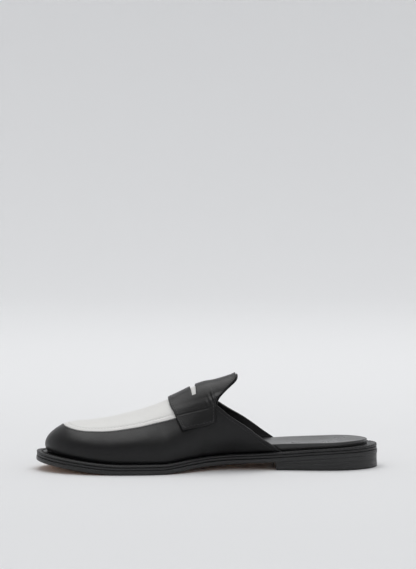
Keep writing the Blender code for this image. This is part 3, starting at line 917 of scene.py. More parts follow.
def add_shell(build, points, normals, inner, outer, bulge, keep=None, folded=False):
    """Two skins off a grid of points, joined round every open side by a rounded edge.
    Returns the points of the outer skin."""
    rows, columns = points.shape[0] - 1, points.shape[1] - 1
    keep = np.ones((rows, columns), bool) if keep is None else keep
    top = points + normals * outer[..., None]
    under = points + normals * inner[..., None]
    if folded:
        for skin in (top, under):
            skin[-1] = (skin[-1] + skin[-1, ::-1]) / 2
    top_numbers = build.add_points(top)
    under_numbers = build.add_points(under)
    build.add_grid(top_numbers, OUTER, keep=keep)
    build.add_grid(under_numbers, INNER, keep=keep)
    sides = [side for side in open_sides(keep) if not (folded and side[0][0] == side[1][0] == rows)]
    outwards = {}
    for start, end, step in sides:
        for corner in (start, end):
            back = (corner[0] - step[0], corner[1] - step[1])
            direction = normalised(points[corner] - points[back])
            outwards[corner] = outwards.get(corner, 0) + direction
    angles = np.linspace(0, math.pi, EDGE_STEPS + 1)[1:-1, None]
    bands = {}
    for corner, direction in outwards.items():
        middle = (top[corner] + under[corner]) / 2
        half = (top[corner] - under[corner]) / 2
        arc = middle + half * np.cos(angles) + normalised(direction) * bulge * np.sin(angles)
        bands[corner] = [top_numbers[corner], *build.add_points(arc), under_numbers[corner]]
    for start, end, _ in sides:
        build.add_grid(np.array([bands[start], bands[end]]), EDGE)
    return top


def sew(build, line, normals, pitch, width, finish=0):
    """A row of arched stitches along a line of points."""
    steps = np.linalg.norm(np.diff(line, axis=0), axis=-1)
    reach = np.concatenate([[0], np.cumsum(steps)])
    count = max(1, round(reach[-1] / pitch))
    holes = np.linspace(0, reach[-1], count + 1)
    at = np.stack([np.interp(holes, reach, line[:, axis]) for axis in range(3)], -1)
    up = normalised(np.stack([np.interp(holes, reach, normals[:, axis]) for axis in range(3)], -1))
    add_stitches(build, at[:-1], at[1:], normalised(up[:-1] + up[1:]), width, finish)


def add_stitches(build, starts, ends, up, width, finish=0):
    """Arched threads from hole to hole, sunk at both ends and a little flat."""
    span = ends - starts
    starts = starts + span * STITCH_END
    span = span * (1 - 2 * STITCH_END)
    aside = normalised(np.cross(up, normalised(span)))
    shares = np.linspace(0, 1, THREAD_RINGS)
    arch = np.sin(math.pi * shares) ** STITCH_POWER
    middle = starts[:, None] + span[:, None] * shares[:, None]
    middle = middle + up[:, None] * (width * (STITCH_ARCH * arch - STITCH_SINK))[:, None]
    radius = width / 2 * (STITCH_THIN + (1 - STITCH_THIN) * arch)
    turn = (np.arange(THREAD_SIDES) * 2 * math.pi / THREAD_SIDES)[:, None]
    circle = np.cos(turn) * aside[:, None, None] + STITCH_FLAT * np.sin(turn) * up[:, None, None]
    numbers = build.add_points(middle[:, :, None] + radius[:, None, None] * circle)
    for stitch in numbers:
        build.add_grid(stitch, finish, wrap_columns=True)
    build.add_faces(numbers[:, 0], finish)
    build.add_faces(numbers[:, -1], finish)


def add_cap(build, loop, height, finish):
    """Fills a loop that is symmetric about its ends with strips across the foot, at a height given by
    the points' places. loop is the loop's numbers and points."""
    numbers, points = loop
    half = len(numbers) // 2
    shares = np.linspace(0, 1, CAP_COLUMNS + 1)[1:-1, None]
    left, right = points[:half], points[::-1][:half]
    inside = left[:, None] + (right - left)[:, None] * shares
    inside[..., 2] = height(inside)
    middle = build.add_points(inside)
    grid = np.concatenate([numbers[:half, None], middle, numbers[::-1][:half, None]], axis=1)
    build.add_grid(grid, finish)


def full_turns(count):
    """Turns of a whole sole outline, placed so that each has a partner across the foot."""
    return (np.arange(count) + 0.5) * 2 * math.pi / count


def rounded_profile(base_inset, low, high, radius):
    """Insets and heights of an upright edge with rounded corners, from the lower face to the upper."""
    angles = np.linspace(0, math.pi / 2, ROUND_STEPS + 1)
    insets = base_inset + radius * (1 - np.sin(angles))
    lower = [(inset, low, radius * (1 - math.cos(angle))) for inset, angle in zip(insets, angles)]
    upper = [(inset, high, -rise) for inset, _, rise in reversed(lower)]
    return lower + upper


def add_layer(build, turns, profile, finish_sides, finish_low, finish_high):
    """A sole layer: rings up the edge, capped below and above. profile holds each ring's inset, the face
    that it follows and its height above that face."""
    rings = [ring(turns, inset, lambda d, f=face, r=rise: f(d) + r) for inset, face, rise in profile]
    numbers = build.add_points(np.array(rings))
    build.add_grid(numbers, finish_sides, wrap_columns=True)
    for end, finish in ((0, finish_low), (-1, finish_high)):
        _, face, rise = profile[end]

        def height(points):
            return face(distance_from_heel(points)) + rise

        add_cap(build, (numbers[end], rings[end]), height, finish)


def add_node(tree, kind, values=None, **settings):
    """Adds a node, with its properties and the sockets named in values."""
    new = tree.nodes.new(kind)
    for key, value in settings.items():
        setattr(new, key, value)
    for key, value in (values or {}).items():
        new.inputs[key].default_value = value
    return new


def new_finish(name, colour, roughness, coat=0.0, coat_roughness=0.3, specular=0.5):
    """A material with its shader's plain values; returns it, its tree and its shader."""
    material = bpy.data.materials.new(name)
    material.use_nodes = True
    surface = material.node_tree.nodes["Principled BSDF"]
    surface.inputs["Base Color"].default_value = (*colour, 1.0)
    surface.inputs["Roughness"].default_value = roughness
    surface.inputs["Coat Weight"].default_value = coat
    surface.inputs["Coat Roughness"].default_value = coat_roughness
    surface.inputs["Specular IOR Level"].default_value = specular
    return material, material.node_tree, surface


def add_variation(tree, surface, place, colour, spread, roughness, roughness_spread, size):
    """Cloudy changes of colour and gloss over the surface."""
    clouds = add_node(tree, "ShaderNodeTexNoise", {"Scale": 1 / size, "Detail": 4.0, "Roughness": 0.6})
    tree.links.new(place, clouds.inputs["Vector"])
    mix = add_node(tree, "ShaderNodeMix", data_type="RGBA")
    mix.inputs["A"].default_value = (*[channel * (1 - spread) for channel in colour], 1.0)
    mix.inputs["B"].default_value = (*[min(1.0, channel * (1 + spread)) for channel in colour], 1.0)
    tree.links.new(clouds.outputs["Fac"], mix.inputs["Factor"])
    tree.links.new(mix.outputs["Result"], surface.inputs["Base Color"])
    gloss = add_node(tree, "ShaderNodeMapRange", {
        "From Min": 0.3,
        "From Max": 0.7,
        "To Min": roughness - roughness_spread,
        "To Max": roughness + roughness_spread,
    })
    tree.links.new(clouds.outputs["Fac"], gloss.inputs["Value"])
    tree.links.new(gloss.outputs["Result"], surface.inputs["Roughness"])


def add_bump(tree, surface, height, depth, strength, below=None):
    """Adds a bump, on top of another where there is one, and returns its node."""
    bump = add_node(tree, "ShaderNodeBump", {"Strength": strength, "Distance": depth})
    tree.links.new(height, bump.inputs["Height"])
    if below is not None:
        tree.links.new(below.outputs["Normal"], bump.inputs["Normal"])
    tree.links.new(bump.outputs["Normal"], surface.inputs["Normal"])
    return bump


def leather_finish(name, colour, roughness, grain, depth, coat=0.0, specular=0.5, spread=0.12):
    """Smooth leather: fine cells, pores and soft waves."""
    cloud_size = 0.018
    wave_size = 0.009
    wave_depth = 0.0009
    material, tree, surface = new_finish(name, colour, roughness, coat=coat, specular=specular)
    place = add_node(tree, "ShaderNodeTexCoord").outputs["Object"]
    add_variation(tree, surface, place, colour, spread, roughness, 0.05, cloud_size)
    waves = add_node(tree, "ShaderNodeTexNoise", {"Scale": 1 / wave_size, "Detail": 3.0})
    cells = add_node(
        tree, "ShaderNodeTexVoronoi", {"Scale": 1 / grain, "Smoothness": 0.6}, feature="SMOOTH_F1",
    )
    pores = add_node(tree, "ShaderNodeTexNoise", {"Scale": 2.2 / grain, "Detail": 5.0, "Roughness": 0.6})
    for texture in (waves, cells, pores):
        tree.links.new(place, texture.inputs["Vector"])
    bump = add_bump(tree, surface, waves.outputs["Fac"], wave_depth, 0.25)
    bump = add_bump(tree, surface, cells.outputs["Distance"], depth, 0.55, bump)
    add_bump(tree, surface, pores.outputs["Fac"], depth, 0.35, bump)
    return material


def edge_finish(name, colour, roughness):
    """Dyed and waxed edges of leather layers, with fibres that run along them."""
    cloud_size = 0.010
    fibre_depth = 0.00004
    material, tree, surface = new_finish(name, colour, roughness, coat=0.12, coat_roughness=0.35)
    place = add_node(tree, "ShaderNodeTexCoord").outputs["Object"]
    add_variation(tree, surface, place, colour, 0.25, roughness, 0.08, cloud_size)
    stretch = add_node(tree, "ShaderNodeMapping", {"Scale": (90.0, 90.0, 2600.0)})
    tree.links.new(place, stretch.inputs["Vector"])
    fibres = add_node(tree, "ShaderNodeTexNoise", {"Scale": 1.0, "Detail": 5.0, "Roughness": 0.65})
    tree.links.new(stretch.outputs["Vector"], fibres.inputs["Vector"])
    add_bump(tree, surface, fibres.outputs["Fac"], fibre_depth, 0.22)
    return material


def sole_finish(name, colour):
    """Bare sole leather: tan, matt, with fine fibres and a few darker clouds."""
    cloud_size = 0.014
    fibre_size = 0.0007
    fibre_depth = 0.00015
    roughness = 0.55
    material, tree, surface = new_finish(name, colour, roughness, specular=0.35)
    place = add_node(tree, "ShaderNodeTexCoord").outputs["Object"]
    add_variation(tree, surface, place, colour, 0.16, roughness, 0.08, cloud_size)
    fibres = add_node(tree, "ShaderNodeTexNoise", {"Scale": 1 / fibre_size, "Detail": 6.0, "Roughness": 0.7})
    tree.links.new(place, fibres.inputs["Vector"])
    add_bump(tree, surface, fibres.outputs["Fac"], fibre_depth, 0.4)
    return material


def rubber_finish(name, colour):
    """Rubber of the heel's top piece, with a fine pebble."""
    cloud_size = 0.006
    pebble_depth = 0.0002
    roughness = 0.6
    material, tree, surface = new_finish(name, colour, roughness)
    place = add_node(tree, "ShaderNodeTexCoord").outputs["Object"]
    add_variation(tree, surface, place, colour, 0.2, roughness, 0.06, cloud_size)
    pebbles = add_node(tree, "ShaderNodeTexVoronoi", {"Scale": 1 / PEBBLE_SIZE})
    tree.links.new(place, pebbles.inputs["Vector"])
    add_bump(tree, surface, pebbles.outputs["Distance"], pebble_depth, 0.5)
    return material


def thread_finish(name, colour, roughness):
    """Waxed thread with its twist."""
    twist_depth = 0.0001
    material, tree, surface = new_finish(name, colour, roughness)
    place = add_node(tree, "ShaderNodeTexCoord").outputs["Object"]
    twist = add_node(
        tree, "ShaderNodeTexWave", {"Scale": 900.0, "Distortion": 1.5}, bands_direction="DIAGONAL",
    )
    tree.links.new(place, twist.inputs["Vector"])
    add_bump(tree, surface, twist.outputs["Fac"], twist_depth, 0.6)
    return material


def shared_finish(name):
    """One of the finishes that several pieces share, made when it is first asked for."""
    if name in bpy.data.materials:
        return bpy.data.materials[name]
    colours = bpy.context.scene.loafer_colours
    if name == "black_calf":
        return leather_finish(
            name, colours.black_leather,
            roughness=0.36, grain=0.00075, depth=0.00012, coat=0.10, specular=0.30,
        )
    if name == "black_calf_edge":
        return leather_finish(
            name, colours.black_leather, roughness=0.44, grain=0.0009, depth=0.00008, specular=0.34,
        )
    if name == "black_lining":
        return leather_finish(
            name, colours.lining, roughness=0.62, grain=0.0011, depth=0.00010, specular=0.30,
        )
    if name == "dyed_edge":
        return edge_finish(name, colours.sole_edge, roughness=0.42)
    if name == "black_thread":
        # Three times the black leather's colour: the thread is made lighter as a painted highlight, so that
        # its stitches show as grey dashes.
        return thread_finish(name, [3.0 * channel for channel in colours.black_leather], roughness=0.42)
    if name == "white_thread":
        return thread_finish(name, [0.92 * channel for channel in colours.white_leather], roughness=0.6)
    raise ValueError("no finish is named " + name)


def black_finishes():
    """Finishes of the black leather's outside, its edges and its lining."""
    return [shared_finish(name) for name in ("black_calf", "black_calf_edge", "black_lining")]


def add_softbox(name, place, size, power):
    """A soft square light that faces the shoe."""
    data = bpy.data.lights.new(name, "AREA")
    data.shape = "SQUARE"
    data.size = size
    data.energy = power
    lamp = bpy.data.objects.new(name, data)
    lamp.location = place
    lamp.rotation_euler = (Vector(TOP_LIGHT_AIM) - Vector(place)).to_track_quat("-Z", "Y").to_euler()
    bpy.context.scene.collection.objects.link(lamp)


class LOAFER_OT_camera(bpy.types.Operator):
    """Adds the camera at the photograph's angle"""

    bl_idname = "loafer.camera"
    bl_label = "Camera"
    bl_options = {"REGISTER", "UNDO"}

    def execute(self, context):
        data = bpy.data.cameras.new("photo_camera")
        data.sensor_width = SENSOR_WIDTH_MM
        data.lens = CAMERA_FOCAL_PIXELS * SENSOR_WIDTH_MM / FRAME_HEIGHT
        camera = bpy.data.objects.new("photo_camera", data)
        around = math.radians(CAMERA_AZIMUTH)
        above = math.radians(CAMERA_ELEVATION)
        distance = CAMERA_FOCAL_PIXELS / CAMERA_PIXELS_PER_METRE
        camera.location = (
            distance * math.cos(above) * math.sin(around),
            -distance * math.cos(above) * math.cos(around),
            distance * math.sin(above),
        )
        down = above - math.atan((ORIGIN_PIXEL[1] - FRAME_HEIGHT / 2) / CAMERA_FOCAL_PIXELS)
        aside = around - math.atan((FRAME_WIDTH / 2 - ORIGIN_PIXEL[0]) / CAMERA_FOCAL_PIXELS)
        camera.rotation_euler = Euler((math.pi / 2 - down, 0.0, aside))
        context.scene.collection.objects.link(camera)
        context.scene.camera = camera
        return {"FINISHED"}


class LOAFER_OT_stage(bpy.types.Operator):
    """Adds the pale floor, which turns up into a backdrop all round, and the soft studio light"""

    bl_idname = "loafer.stage"
    bl_label = "Floor and light"
    bl_options = {"REGISTER", "UNDO"}

    def execute(self, context):
        profile = [(0.0, 0.0), (FLOOR_RADIUS / 2, 0.0)]
        for angle in np.linspace(0, math.pi / 2, FLOOR_STEPS + 1):
            profile.append((
                FLOOR_RADIUS + FLOOR_BEND * math.sin(angle),
                FLOOR_BEND * (1 - math.cos(angle)),
            ))
        profile.append((FLOOR_RADIUS + FLOOR_BEND, FLOOR_TOP))
        turns = np.linspace(0, 2 * math.pi, FLOOR_TURNS, endpoint=False)
        rings = [[(r * math.cos(t), r * math.sin(t), z) for t in turns] for r, z in profile]
        build = Build()
        build.add_grid(build.add_points(np.array(rings)), wrap_columns=True)
        mesh = bpy.data.meshes.new("floor")
        mesh.from_pydata(np.concatenate(build.points), [], build.faces)
        mesh.shade_smooth()
        mesh.materials.append(self.floor_finish(context.scene.loafer_colours.floor))
        floor = bpy.data.objects.new("floor", mesh)
        floor.location.z = -FLOOR_DROP
        context.scene.collection.objects.link(floor)
        world = context.scene.world or bpy.data.worlds.new("studio")
        context.scene.world = world
        world.use_nodes = True
        room = world.node_tree.nodes["Background"]
        room.inputs["Color"].default_value = (1.0, 1.0, 1.0, 1.0)
        room.inputs["Strength"].default_value = WORLD_LIGHT
        add_softbox("top_softbox", TOP_LIGHT_PLACE, TOP_LIGHT_SIZE, TOP_LIGHT)
        context.scene.view_settings.view_transform = "Standard"
        return {"FINISHED"}

    def floor_finish(self, colour):
        """Matt paper that glows more the further it lies from the shoe, and less up the backdrop."""
        material, tree, surface = new_finish("pale_floor", colour, 0.9, specular=0.1)
        surface.inputs["Emission Color"].default_value = (*colour, 1.0)
        place = add_node(tree, "ShaderNodeTexCoord").outputs["Object"]
        split = add_node(tree, "ShaderNodeSeparateXYZ")
        tree.links.new(place, split.inputs["Vector"])
        radius = add_node(tree, "ShaderNodeVectorMath", operation="LENGTH")
        tree.links.new(place, radius.inputs[0])
        spread = add_node(tree, "ShaderNodeMapRange", {
            "From Min": GLOW_START,
            "From Max": FLOOR_RADIUS,
            "To Min": 0.0,
            "To Max": FLOOR_GLOW,
        })
        tree.links.new(radius.outputs["Value"], spread.inputs["Value"])
        fade = add_node(tree, "ShaderNodeMapRange", {
            "From Min": 0.0,
            "From Max": WALL_FADE_HEIGHT,
            "To Min": 1.0,
            "To Max": WALL_FADE,
        })
        tree.links.new(split.outputs["Z"], fade.inputs["Value"])
        glow = add_node(tree, "ShaderNodeMath", operation="MULTIPLY")
        tree.links.new(spread.outputs["Result"], glow.inputs[0])
        tree.links.new(fade.outputs["Result"], glow.inputs[1])
        tree.links.new(glow.outputs["Value"], surface.inputs["Emission Strength"])
        return material


class LOAFER_OT_outsole(bpy.types.Operator):
    """Makes the leather outsole: black edge, bare tan underside with its closed stitch channel"""

    bl_idname = "loafer.outsole"
    bl_label = "Outsole"
    bl_options = {"REGISTER", "UNDO"}

    def execute(self, context):
        def top(from_heel):
            return underside(from_heel) + OUTSOLE_THICK

        below = [(inset, underside, rise) for inset, rise in SOLE_CHANNEL]
        edge = rounded_profile(0.0, underside, top, context.scene.loafer_sizes.edge_round)
        build = Build()
        add_layer(build, full_turns(EDGE_TURNS), below + edge, 0, 1, 0)
        bare = len(below) * EDGE_TURNS
        build.finishes[:bare] = [1] * bare
        finishes = [
            shared_finish("dyed_edge"),
            sole_finish("bare_sole_leather", context.scene.loafer_colours.sole_leather),
        ]
        build.finish("dressed_outsole", finishes, "outsole_leather", "outsole")
        return {"FINISHED"}


class LOAFER_OT_midsole(bpy.types.Operator):
    """Makes the thin middle layer, set in from the edge"""

    bl_idname = "loafer.midsole"
    bl_label = "Midsole"
    bl_options = {"REGISTER", "UNDO"}

    def execute(self, context):
        def low(from_heel):
            return midsole_floor(from_heel) - GAP

        def high(from_heel):
            return midsole_floor(from_heel) + MIDSOLE_THICK + GAP

        radius = MIDSOLE_ROUND * context.scene.loafer_sizes.edge_round
        build = Build()
        profile = rounded_profile(MIDSOLE_SET_IN - MIDSOLE_BEAD, low, high, radius)
        add_layer(build, full_turns(EDGE_TURNS), profile, 0, 0, 0)
        build.finish("dressed_midsole", [shared_finish("dyed_edge")], "sole_edge", "midsole")
        return {"FINISHED"}


class LOAFER_OT_welt(bpy.types.Operator):
    """Makes the welt with its stitch channel, wheel marks, joint and thread"""

    bl_idname = "loafer.welt"
    bl_label = "Welt"
    bl_options = {"REGISTER", "UNDO"}

    def execute(self, context):
        sizes = context.scene.loafer_sizes
        dense = np.linspace(0, 2 * math.pi, 6 * WELT_TURNS + 1)
        steps = np.linalg.norm(np.diff(sole_edge(dense), axis=0), axis=-1)
        reach = np.concatenate([[0], np.cumsum(steps)])
        count = round(reach[-1] / sizes.welt_pitch)
        along = np.linspace(0, reach[-1], WELT_TURNS, endpoint=False)
        turns = np.interp(along, reach, dense)
        from_heel = sole_edge(turns)[:, 0]
        width = rim(from_heel)
        to_hole = np.abs((along / reach[-1] * count + 0.5) % 1 - 0.5) * sizes.welt_pitch
        mark = bell(to_hole, WHEEL_MARK_WIDTH)
        joint = WELT_JOINT_DEPTH * bell(from_heel - WELT_JOINT, WELT_JOINT_WIDTH) * (np.sin(turns) > 0)

        def welt_ring(share, further_in, fall, face):
            points = ring(turns, width * share + WELT_TRIM * (1 - share) + further_in, face)
            points[:, 2] -= fall
            return points

        rings = [
            welt_ring(0, WELT_SEAT, 0, welt_floor),
            welt_ring(THREAD_PLACE, 0, 0, welt_floor),
        ]
        rounding = np.linspace(0, math.pi / 2, ROUND_STEPS + 1)
        for angle in rounding:
            inset = sizes.edge_round * (1 - math.sin(angle))
            rise = sizes.edge_round * (1 - math.cos(angle))
            rings.append(welt_ring(0, inset, -rise, welt_floor))
        for angle in rounding[::-1]:
            inset = WELT_ROUND * (1 - math.sin(angle))
            fall = WELT_ROUND * (1 - math.cos(angle)) + WHEEL_MARK_AT_EDGE * math.cos(angle) * mark
            rings.append(welt_ring(0, inset, fall + joint, sole_top))
        channel = THREAD_SINK * sizes.welt_thread_width
        for share in WELT_ACROSS:
            fall = channel * bell(share - THREAD_PLACE, THREAD_CHANNEL)
            fall = fall + WHEEL_MARK_DEPTH * bell(share - WHEEL_PLACE, WHEEL_SPREAD) * mark
            rings.append(welt_ring(share, 0, fall + joint, sole_top))
        rings.append(welt_ring(1, WELT_SEAT, joint, sole_top))
        build = Build()
        numbers = build.add_points(np.array(rings))
        build.add_grid(np.concatenate([numbers, numbers[:1]]), wrap_columns=True)
        build.finish("dressed_welt", [shared_finish("dyed_edge")], "welt_leather", "welt")
        holes = np.interp(np.arange(count + 1) * reach[-1] / count, reach, dense)
        path = ring(holes, lambda d: rim(d) * THREAD_PLACE, lambda d: sole_top(d) - channel * THREAD_SEAT)
        up = np.zeros((count, 3)) + (0, 0, 1)
        threads = Build()
        add_stitches(threads, path[:-1], path[1:], up, sizes.welt_thread_width)
        threads.finish("welt_thread", [shared_finish("black_thread")], "welt_leather", "welt")
        return {"FINISHED"}


class LOAFER_OT_heel(bpy.types.Operator):
    """Makes the low stacked heel with its top piece and the line of each lift"""

    bl_idname = "loafer.heel"
    bl_label = "Heel"
    bl_options = {"REGISTER", "UNDO"}

    def execute(self, context):
        radius = context.scene.loafer_sizes.edge_round
        last_turn = math.acos(1 - 2 * HEEL_LENGTH / LENGTH)
        turns = np.linspace(-last_turn, last_turn, HEEL_TURNS)

        def heel_ring(inset, height):
            points = ring(turns, HEEL_SET_IN + inset, height)
            points[[0, -1], 0] = to_x(HEEL_LENGTH)
            return points

        profile = [(radius, 0.0), (0.3 * radius, 0.12 * radius), (0.0, 0.6 * radius)]
        profile += [(inset, TOP_PIECE_THICK + offset) for inset, offset in LIFT_LINE]
        rings = []
        for inset, height in profile:
            flare = HEEL_FLARE * (1 - height / underside(0))
            rings.append(heel_ring(inset - flare, lambda d, h=height: np.minimum(h, underside(d))))
        base = profile[-1][1]
        for share in LIFT_SHARES:
            inset = LIFT_GROOVE * (abs(share - LIFT_MIDDLE) < LIFT_REACH)
            rings.append(heel_ring(inset, lambda d, s=share: base + (underside(d) - base) * s))
        build = Build()
        numbers = build.add_points(np.array(rings))
        build.add_grid(numbers, wrap_columns=True)
        add_cap(build, (numbers[0], rings[0]), lambda points: 0 * points[..., 0], 1)
        add_cap(build, (numbers[-1], rings[-1]), lambda points: underside(distance_from_heel(points)), 0)
        finishes = [
            shared_finish("dyed_edge"),
            rubber_finish("heel_rubber", context.scene.loafer_colours.rubber),
        ]
        build.finish("dressed_heel", finishes, "heel_stack", "heel", angle=40)
        return {"FINISHED"}


class LOAFER_OT_insole(bpy.types.Operator):
    """Makes the footbed with its rolled edge and a soft dish under the heel"""

    bl_idname = "loafer.insole"
    bl_label = "Insole"
    bl_options = {"REGISTER", "UNDO"}

    def execute(self, context):
        turns = full_turns(EDGE_TURNS)
        from_heel = sole_edge(turns)[:, 0]
        lap = feather_inset(from_heel) + LINING_THICK + LAP_CLEAR
        lap = lap + HEEL_LAP * (1 - soft_step(from_heel, 0.0, HEEL_LAP_LENGTH))

        def face(from_heel):
            return sole_top(from_heel) + GAP + INSOLE_THICK * read(FOOTBED, "thickness", from_heel / LENGTH)

        def dished(points):
            from_heel = distance_from_heel(points)
            share = from_heel / LENGTH
            across = points[..., 1] / (BALL_WIDTH / 2) - HEEL_SPINE
            dish = np.clip(1 - (across / HEEL_DISH_WIDTH) ** 2, 0, 1)
            dish = dish * soft_step(share, *HEEL_DISH_START) * (1 - soft_step(share, *HEEL_DISH_END))
            return face(from_heel) - HEEL_DISH * dish

        rings = [ring(turns, lap + FOOTBED_FLAT, sole_top), ring(turns, lap + FOOTBED_UNDERCUT, sole_top)]
        for angle in np.linspace(-math.pi / 2, math.pi / 2, FOOTBED_STEPS + 1):
            inset = lap + FOOTBED_ROLL * (1 - math.cos(angle))
            if angle < 0:
                points = ring(turns, inset, sole_top)
                points[:, 2] += FOOTBED_FOOT * FOOTBED_ROLL * (1 + math.sin(angle))
            else:
                points = ring(turns, inset, face)
                points[:, 2] -= FOOTBED_ROLL * (1 - math.sin(angle))
            rings.append(points)
        build = Build()
        numbers = build.add_points(np.array(rings))
        build.add_grid(numbers, wrap_columns=True)
        add_cap(build, (numbers[0], rings[0]), lambda points: sole_top(distance_from_heel(points)), 0)
        add_cap(build, (numbers[-1], rings[-1]), dished, 0)
        finish = leather_finish(
            "footbed_leather", context.scene.loafer_colours.footbed,
            roughness=0.31, grain=0.0007, depth=0.0001, coat=0.35, specular=0.55,
        )
        build.finish("dressed_insole", [finish], "footbed_leather", "insole")
        return {"FINISHED"}


class LOAFER_OT_upper(bpy.types.Operator):
    """Makes the mudguard and quarters with their lining, creases and seams"""

    bl_idname = "loafer.upper"
    bl_label = "Upper"
    bl_options = {"REGISTER", "UNDO"}

    def execute(self, context):
        sizes = context.scene.loafer_sizes
        lip = np.linspace(0, LIP_LEVEL, LIP_ROWS + 1)[:-1]
        wall = LIP_LEVEL + (1 - LIP_LEVEL) * np.sin(np.linspace(0, math.pi / 2, WALL_ROWS + 1))
        shoulder, leather_left = np.array(SHOULDER).T
        crown = np.linspace(0, 1, LINING_ROWS + 1)[1:]
        levels = np.concatenate([lip, wall, np.ones(len(shoulder)), 1 + crown])
        past = np.concatenate([np.zeros(len(lip) + len(wall)), shoulder, np.full(len(crown), STEP_WIDTH)])
        points = around_toe(levels, lambda side, rows: meets(rear_edge, side, rows) - UPPER_OVERHANG, past)
        normals = grid_normals(points, folded=True)
        seam_row = len(lip) + len(wall) - 1
        on_wall = np.arange(len(levels))[:, None] <= seam_row
        outer = LEATHER_THICK - self.seam_roll(np.linalg.norm(points - points[seam_row], axis=-1))
        tuck = np.clip(1 - (points[..., 2] - points[0, :, 2]) / FOOT_TUCK_HEIGHT, 0, 1)
        outer = (outer - FOOT_TUCK * tuck**2) * on_wall
        outer[seam_row + 1:seam_row + 1 + len(shoulder)] = LEATHER_THICK * leather_left[:, None]
        outer[:seam_row] += sizes.crease_scale * creases(points, UPPER_CREASES)[:seam_row]
        inner = np.full(outer.shape, -LINING_THICK)
        build = Build()
        outside = add_shell(build, points, normals, inner, outer, UPPER_EDGE_ROLL, folded=True)
        build.finish("dressed_upper", black_finishes(), "black_leather", "upper")
        threads = Build()
        walls = slice(LIP_ROWS - 1, seam_row + 1)
        for columns in (slice(None), slice(None, None, -1)):
            skin = outside[walls, columns]
            line, up = line_inside(skin, normals[walls, columns], TOPLINE_SEAM * sizes.seam_inset)
            sew(threads, line[:-2], up[:-2], sizes.thread_pitch, sizes.thread_width)
        down = slice(seam_row, None, -1)
        line, up = line_inside(sideways(outside[down]), sideways(normals[down]), sizes.seam_inset)
        middle = slice(SEAM_MARGIN, -SEAM_MARGIN)
        sew(threads, line[middle], up[middle], sizes.thread_pitch, sizes.thread_width)
        threads.finish("upper_thread", [shared_finish("black_thread")], "black_leather", "upper")
        return {"FINISHED"}

    def seam_roll(self, below_seam):
        """Depth by which the mudguard's top edge is rolled in, by the distance below its seam."""
        left = np.clip(SEAM_ROLL - below_seam, 0, None)
        return SEAM_ROLL - np.sqrt(np.clip(SEAM_ROLL**2 - left**2, 0, None))


class LOAFER_OT_apron(bpy.types.Operator):
    """Makes the white apron with its stitched groove along the seam"""

    bl_idname = "loafer.apron"
    bl_label = "Apron"
    bl_options = {"REGISTER", "UNDO"}

    def execute(self, context):
        sizes = context.scene.loafer_sizes
        levels = 1 + np.linspace(0, 1, APRON_ROWS + 1) ** APRON_CROWDING
        past = np.full(len(levels), APRON_CLEAR)
        points = around_toe(levels, lambda side, rows: APRON_END + 0 * rows, past)
        normals = grid_normals(points, folded=True)
        steps = np.linalg.norm(np.diff(points, axis=0), axis=-1)
        reach = np.concatenate([np.zeros((1, points.shape[1])), np.cumsum(steps, axis=0)])
        groove = sizes.apron_groove_depth * bell(reach - sizes.apron_groove_inset, APRON_GROOVE_WIDTH)
        swell = APRON_SWELL * bell(reach - sizes.apron_groove_inset / 2, APRON_SWELL_WIDTH)
        outer = GAP + APRON_THICK - groove + swell
        inner = np.full(outer.shape, GAP)
        build = Build()
        outside = add_shell(build, points, normals, inner, outer, APRON_THICK * APRON_EDGE, folded=True)
        white = leather_finish(
            "white_calf", context.scene.loafer_colours.white_leather,
            roughness=0.46, grain=0.0008, depth=0.0001, coat=0.06, specular=0.45, spread=0.03,
        )
        build.finish("dressed_apron", [white], "white_leather", "apron")
        threads = Build()
        line, up = line_inside(sideways(outside), sideways(normals), sizes.apron_groove_inset)
        sew(threads, line, up, sizes.thread_pitch, sizes.thread_width)
        threads.finish("apron_thread", [shared_finish("white_thread")], "white_leather", "apron")
        return {"FINISHED"}


def slot_edges(across):
    """Distances from the heel of the penny slot's front and rear edge at a place across the foot."""
    centre = BALL_WIDTH / 2 * read(BODY, "ridge_y", SLOT_PLACE)
    share = np.clip(np.abs(across - centre) / (SLOT_LENGTH / 2), 0, 1)
    width = SLOT_WIDTH + (SLOT_END_WIDTH - SLOT_WIDTH) * share
    middle = SLOT_PLACE * LENGTH - SLOT_BEND * share - SLOT_SHIFT + (SLOT_SHIFT - SLOT_END_SHIFT) * share
    edge = SADDLE_THICK * SLOT_EDGE
    return middle + width / 2 + edge, middle - width / 2 - edge


def slot_level(side):
    """Level at which the penny slot ends on one side."""
    levels = np.linspace(1, 2, LEVEL_STEPS)
    centre = BALL_WIDTH / 2 * read(BODY, "ridge_y", SLOT_PLACE)
    across = on_rib(side_rib(SLOT_PLACE * LENGTH + 0 * levels, side), levels)[:, 1]
    return np.interp(-SLOT_LENGTH / 2, -np.abs(across - centre), levels)


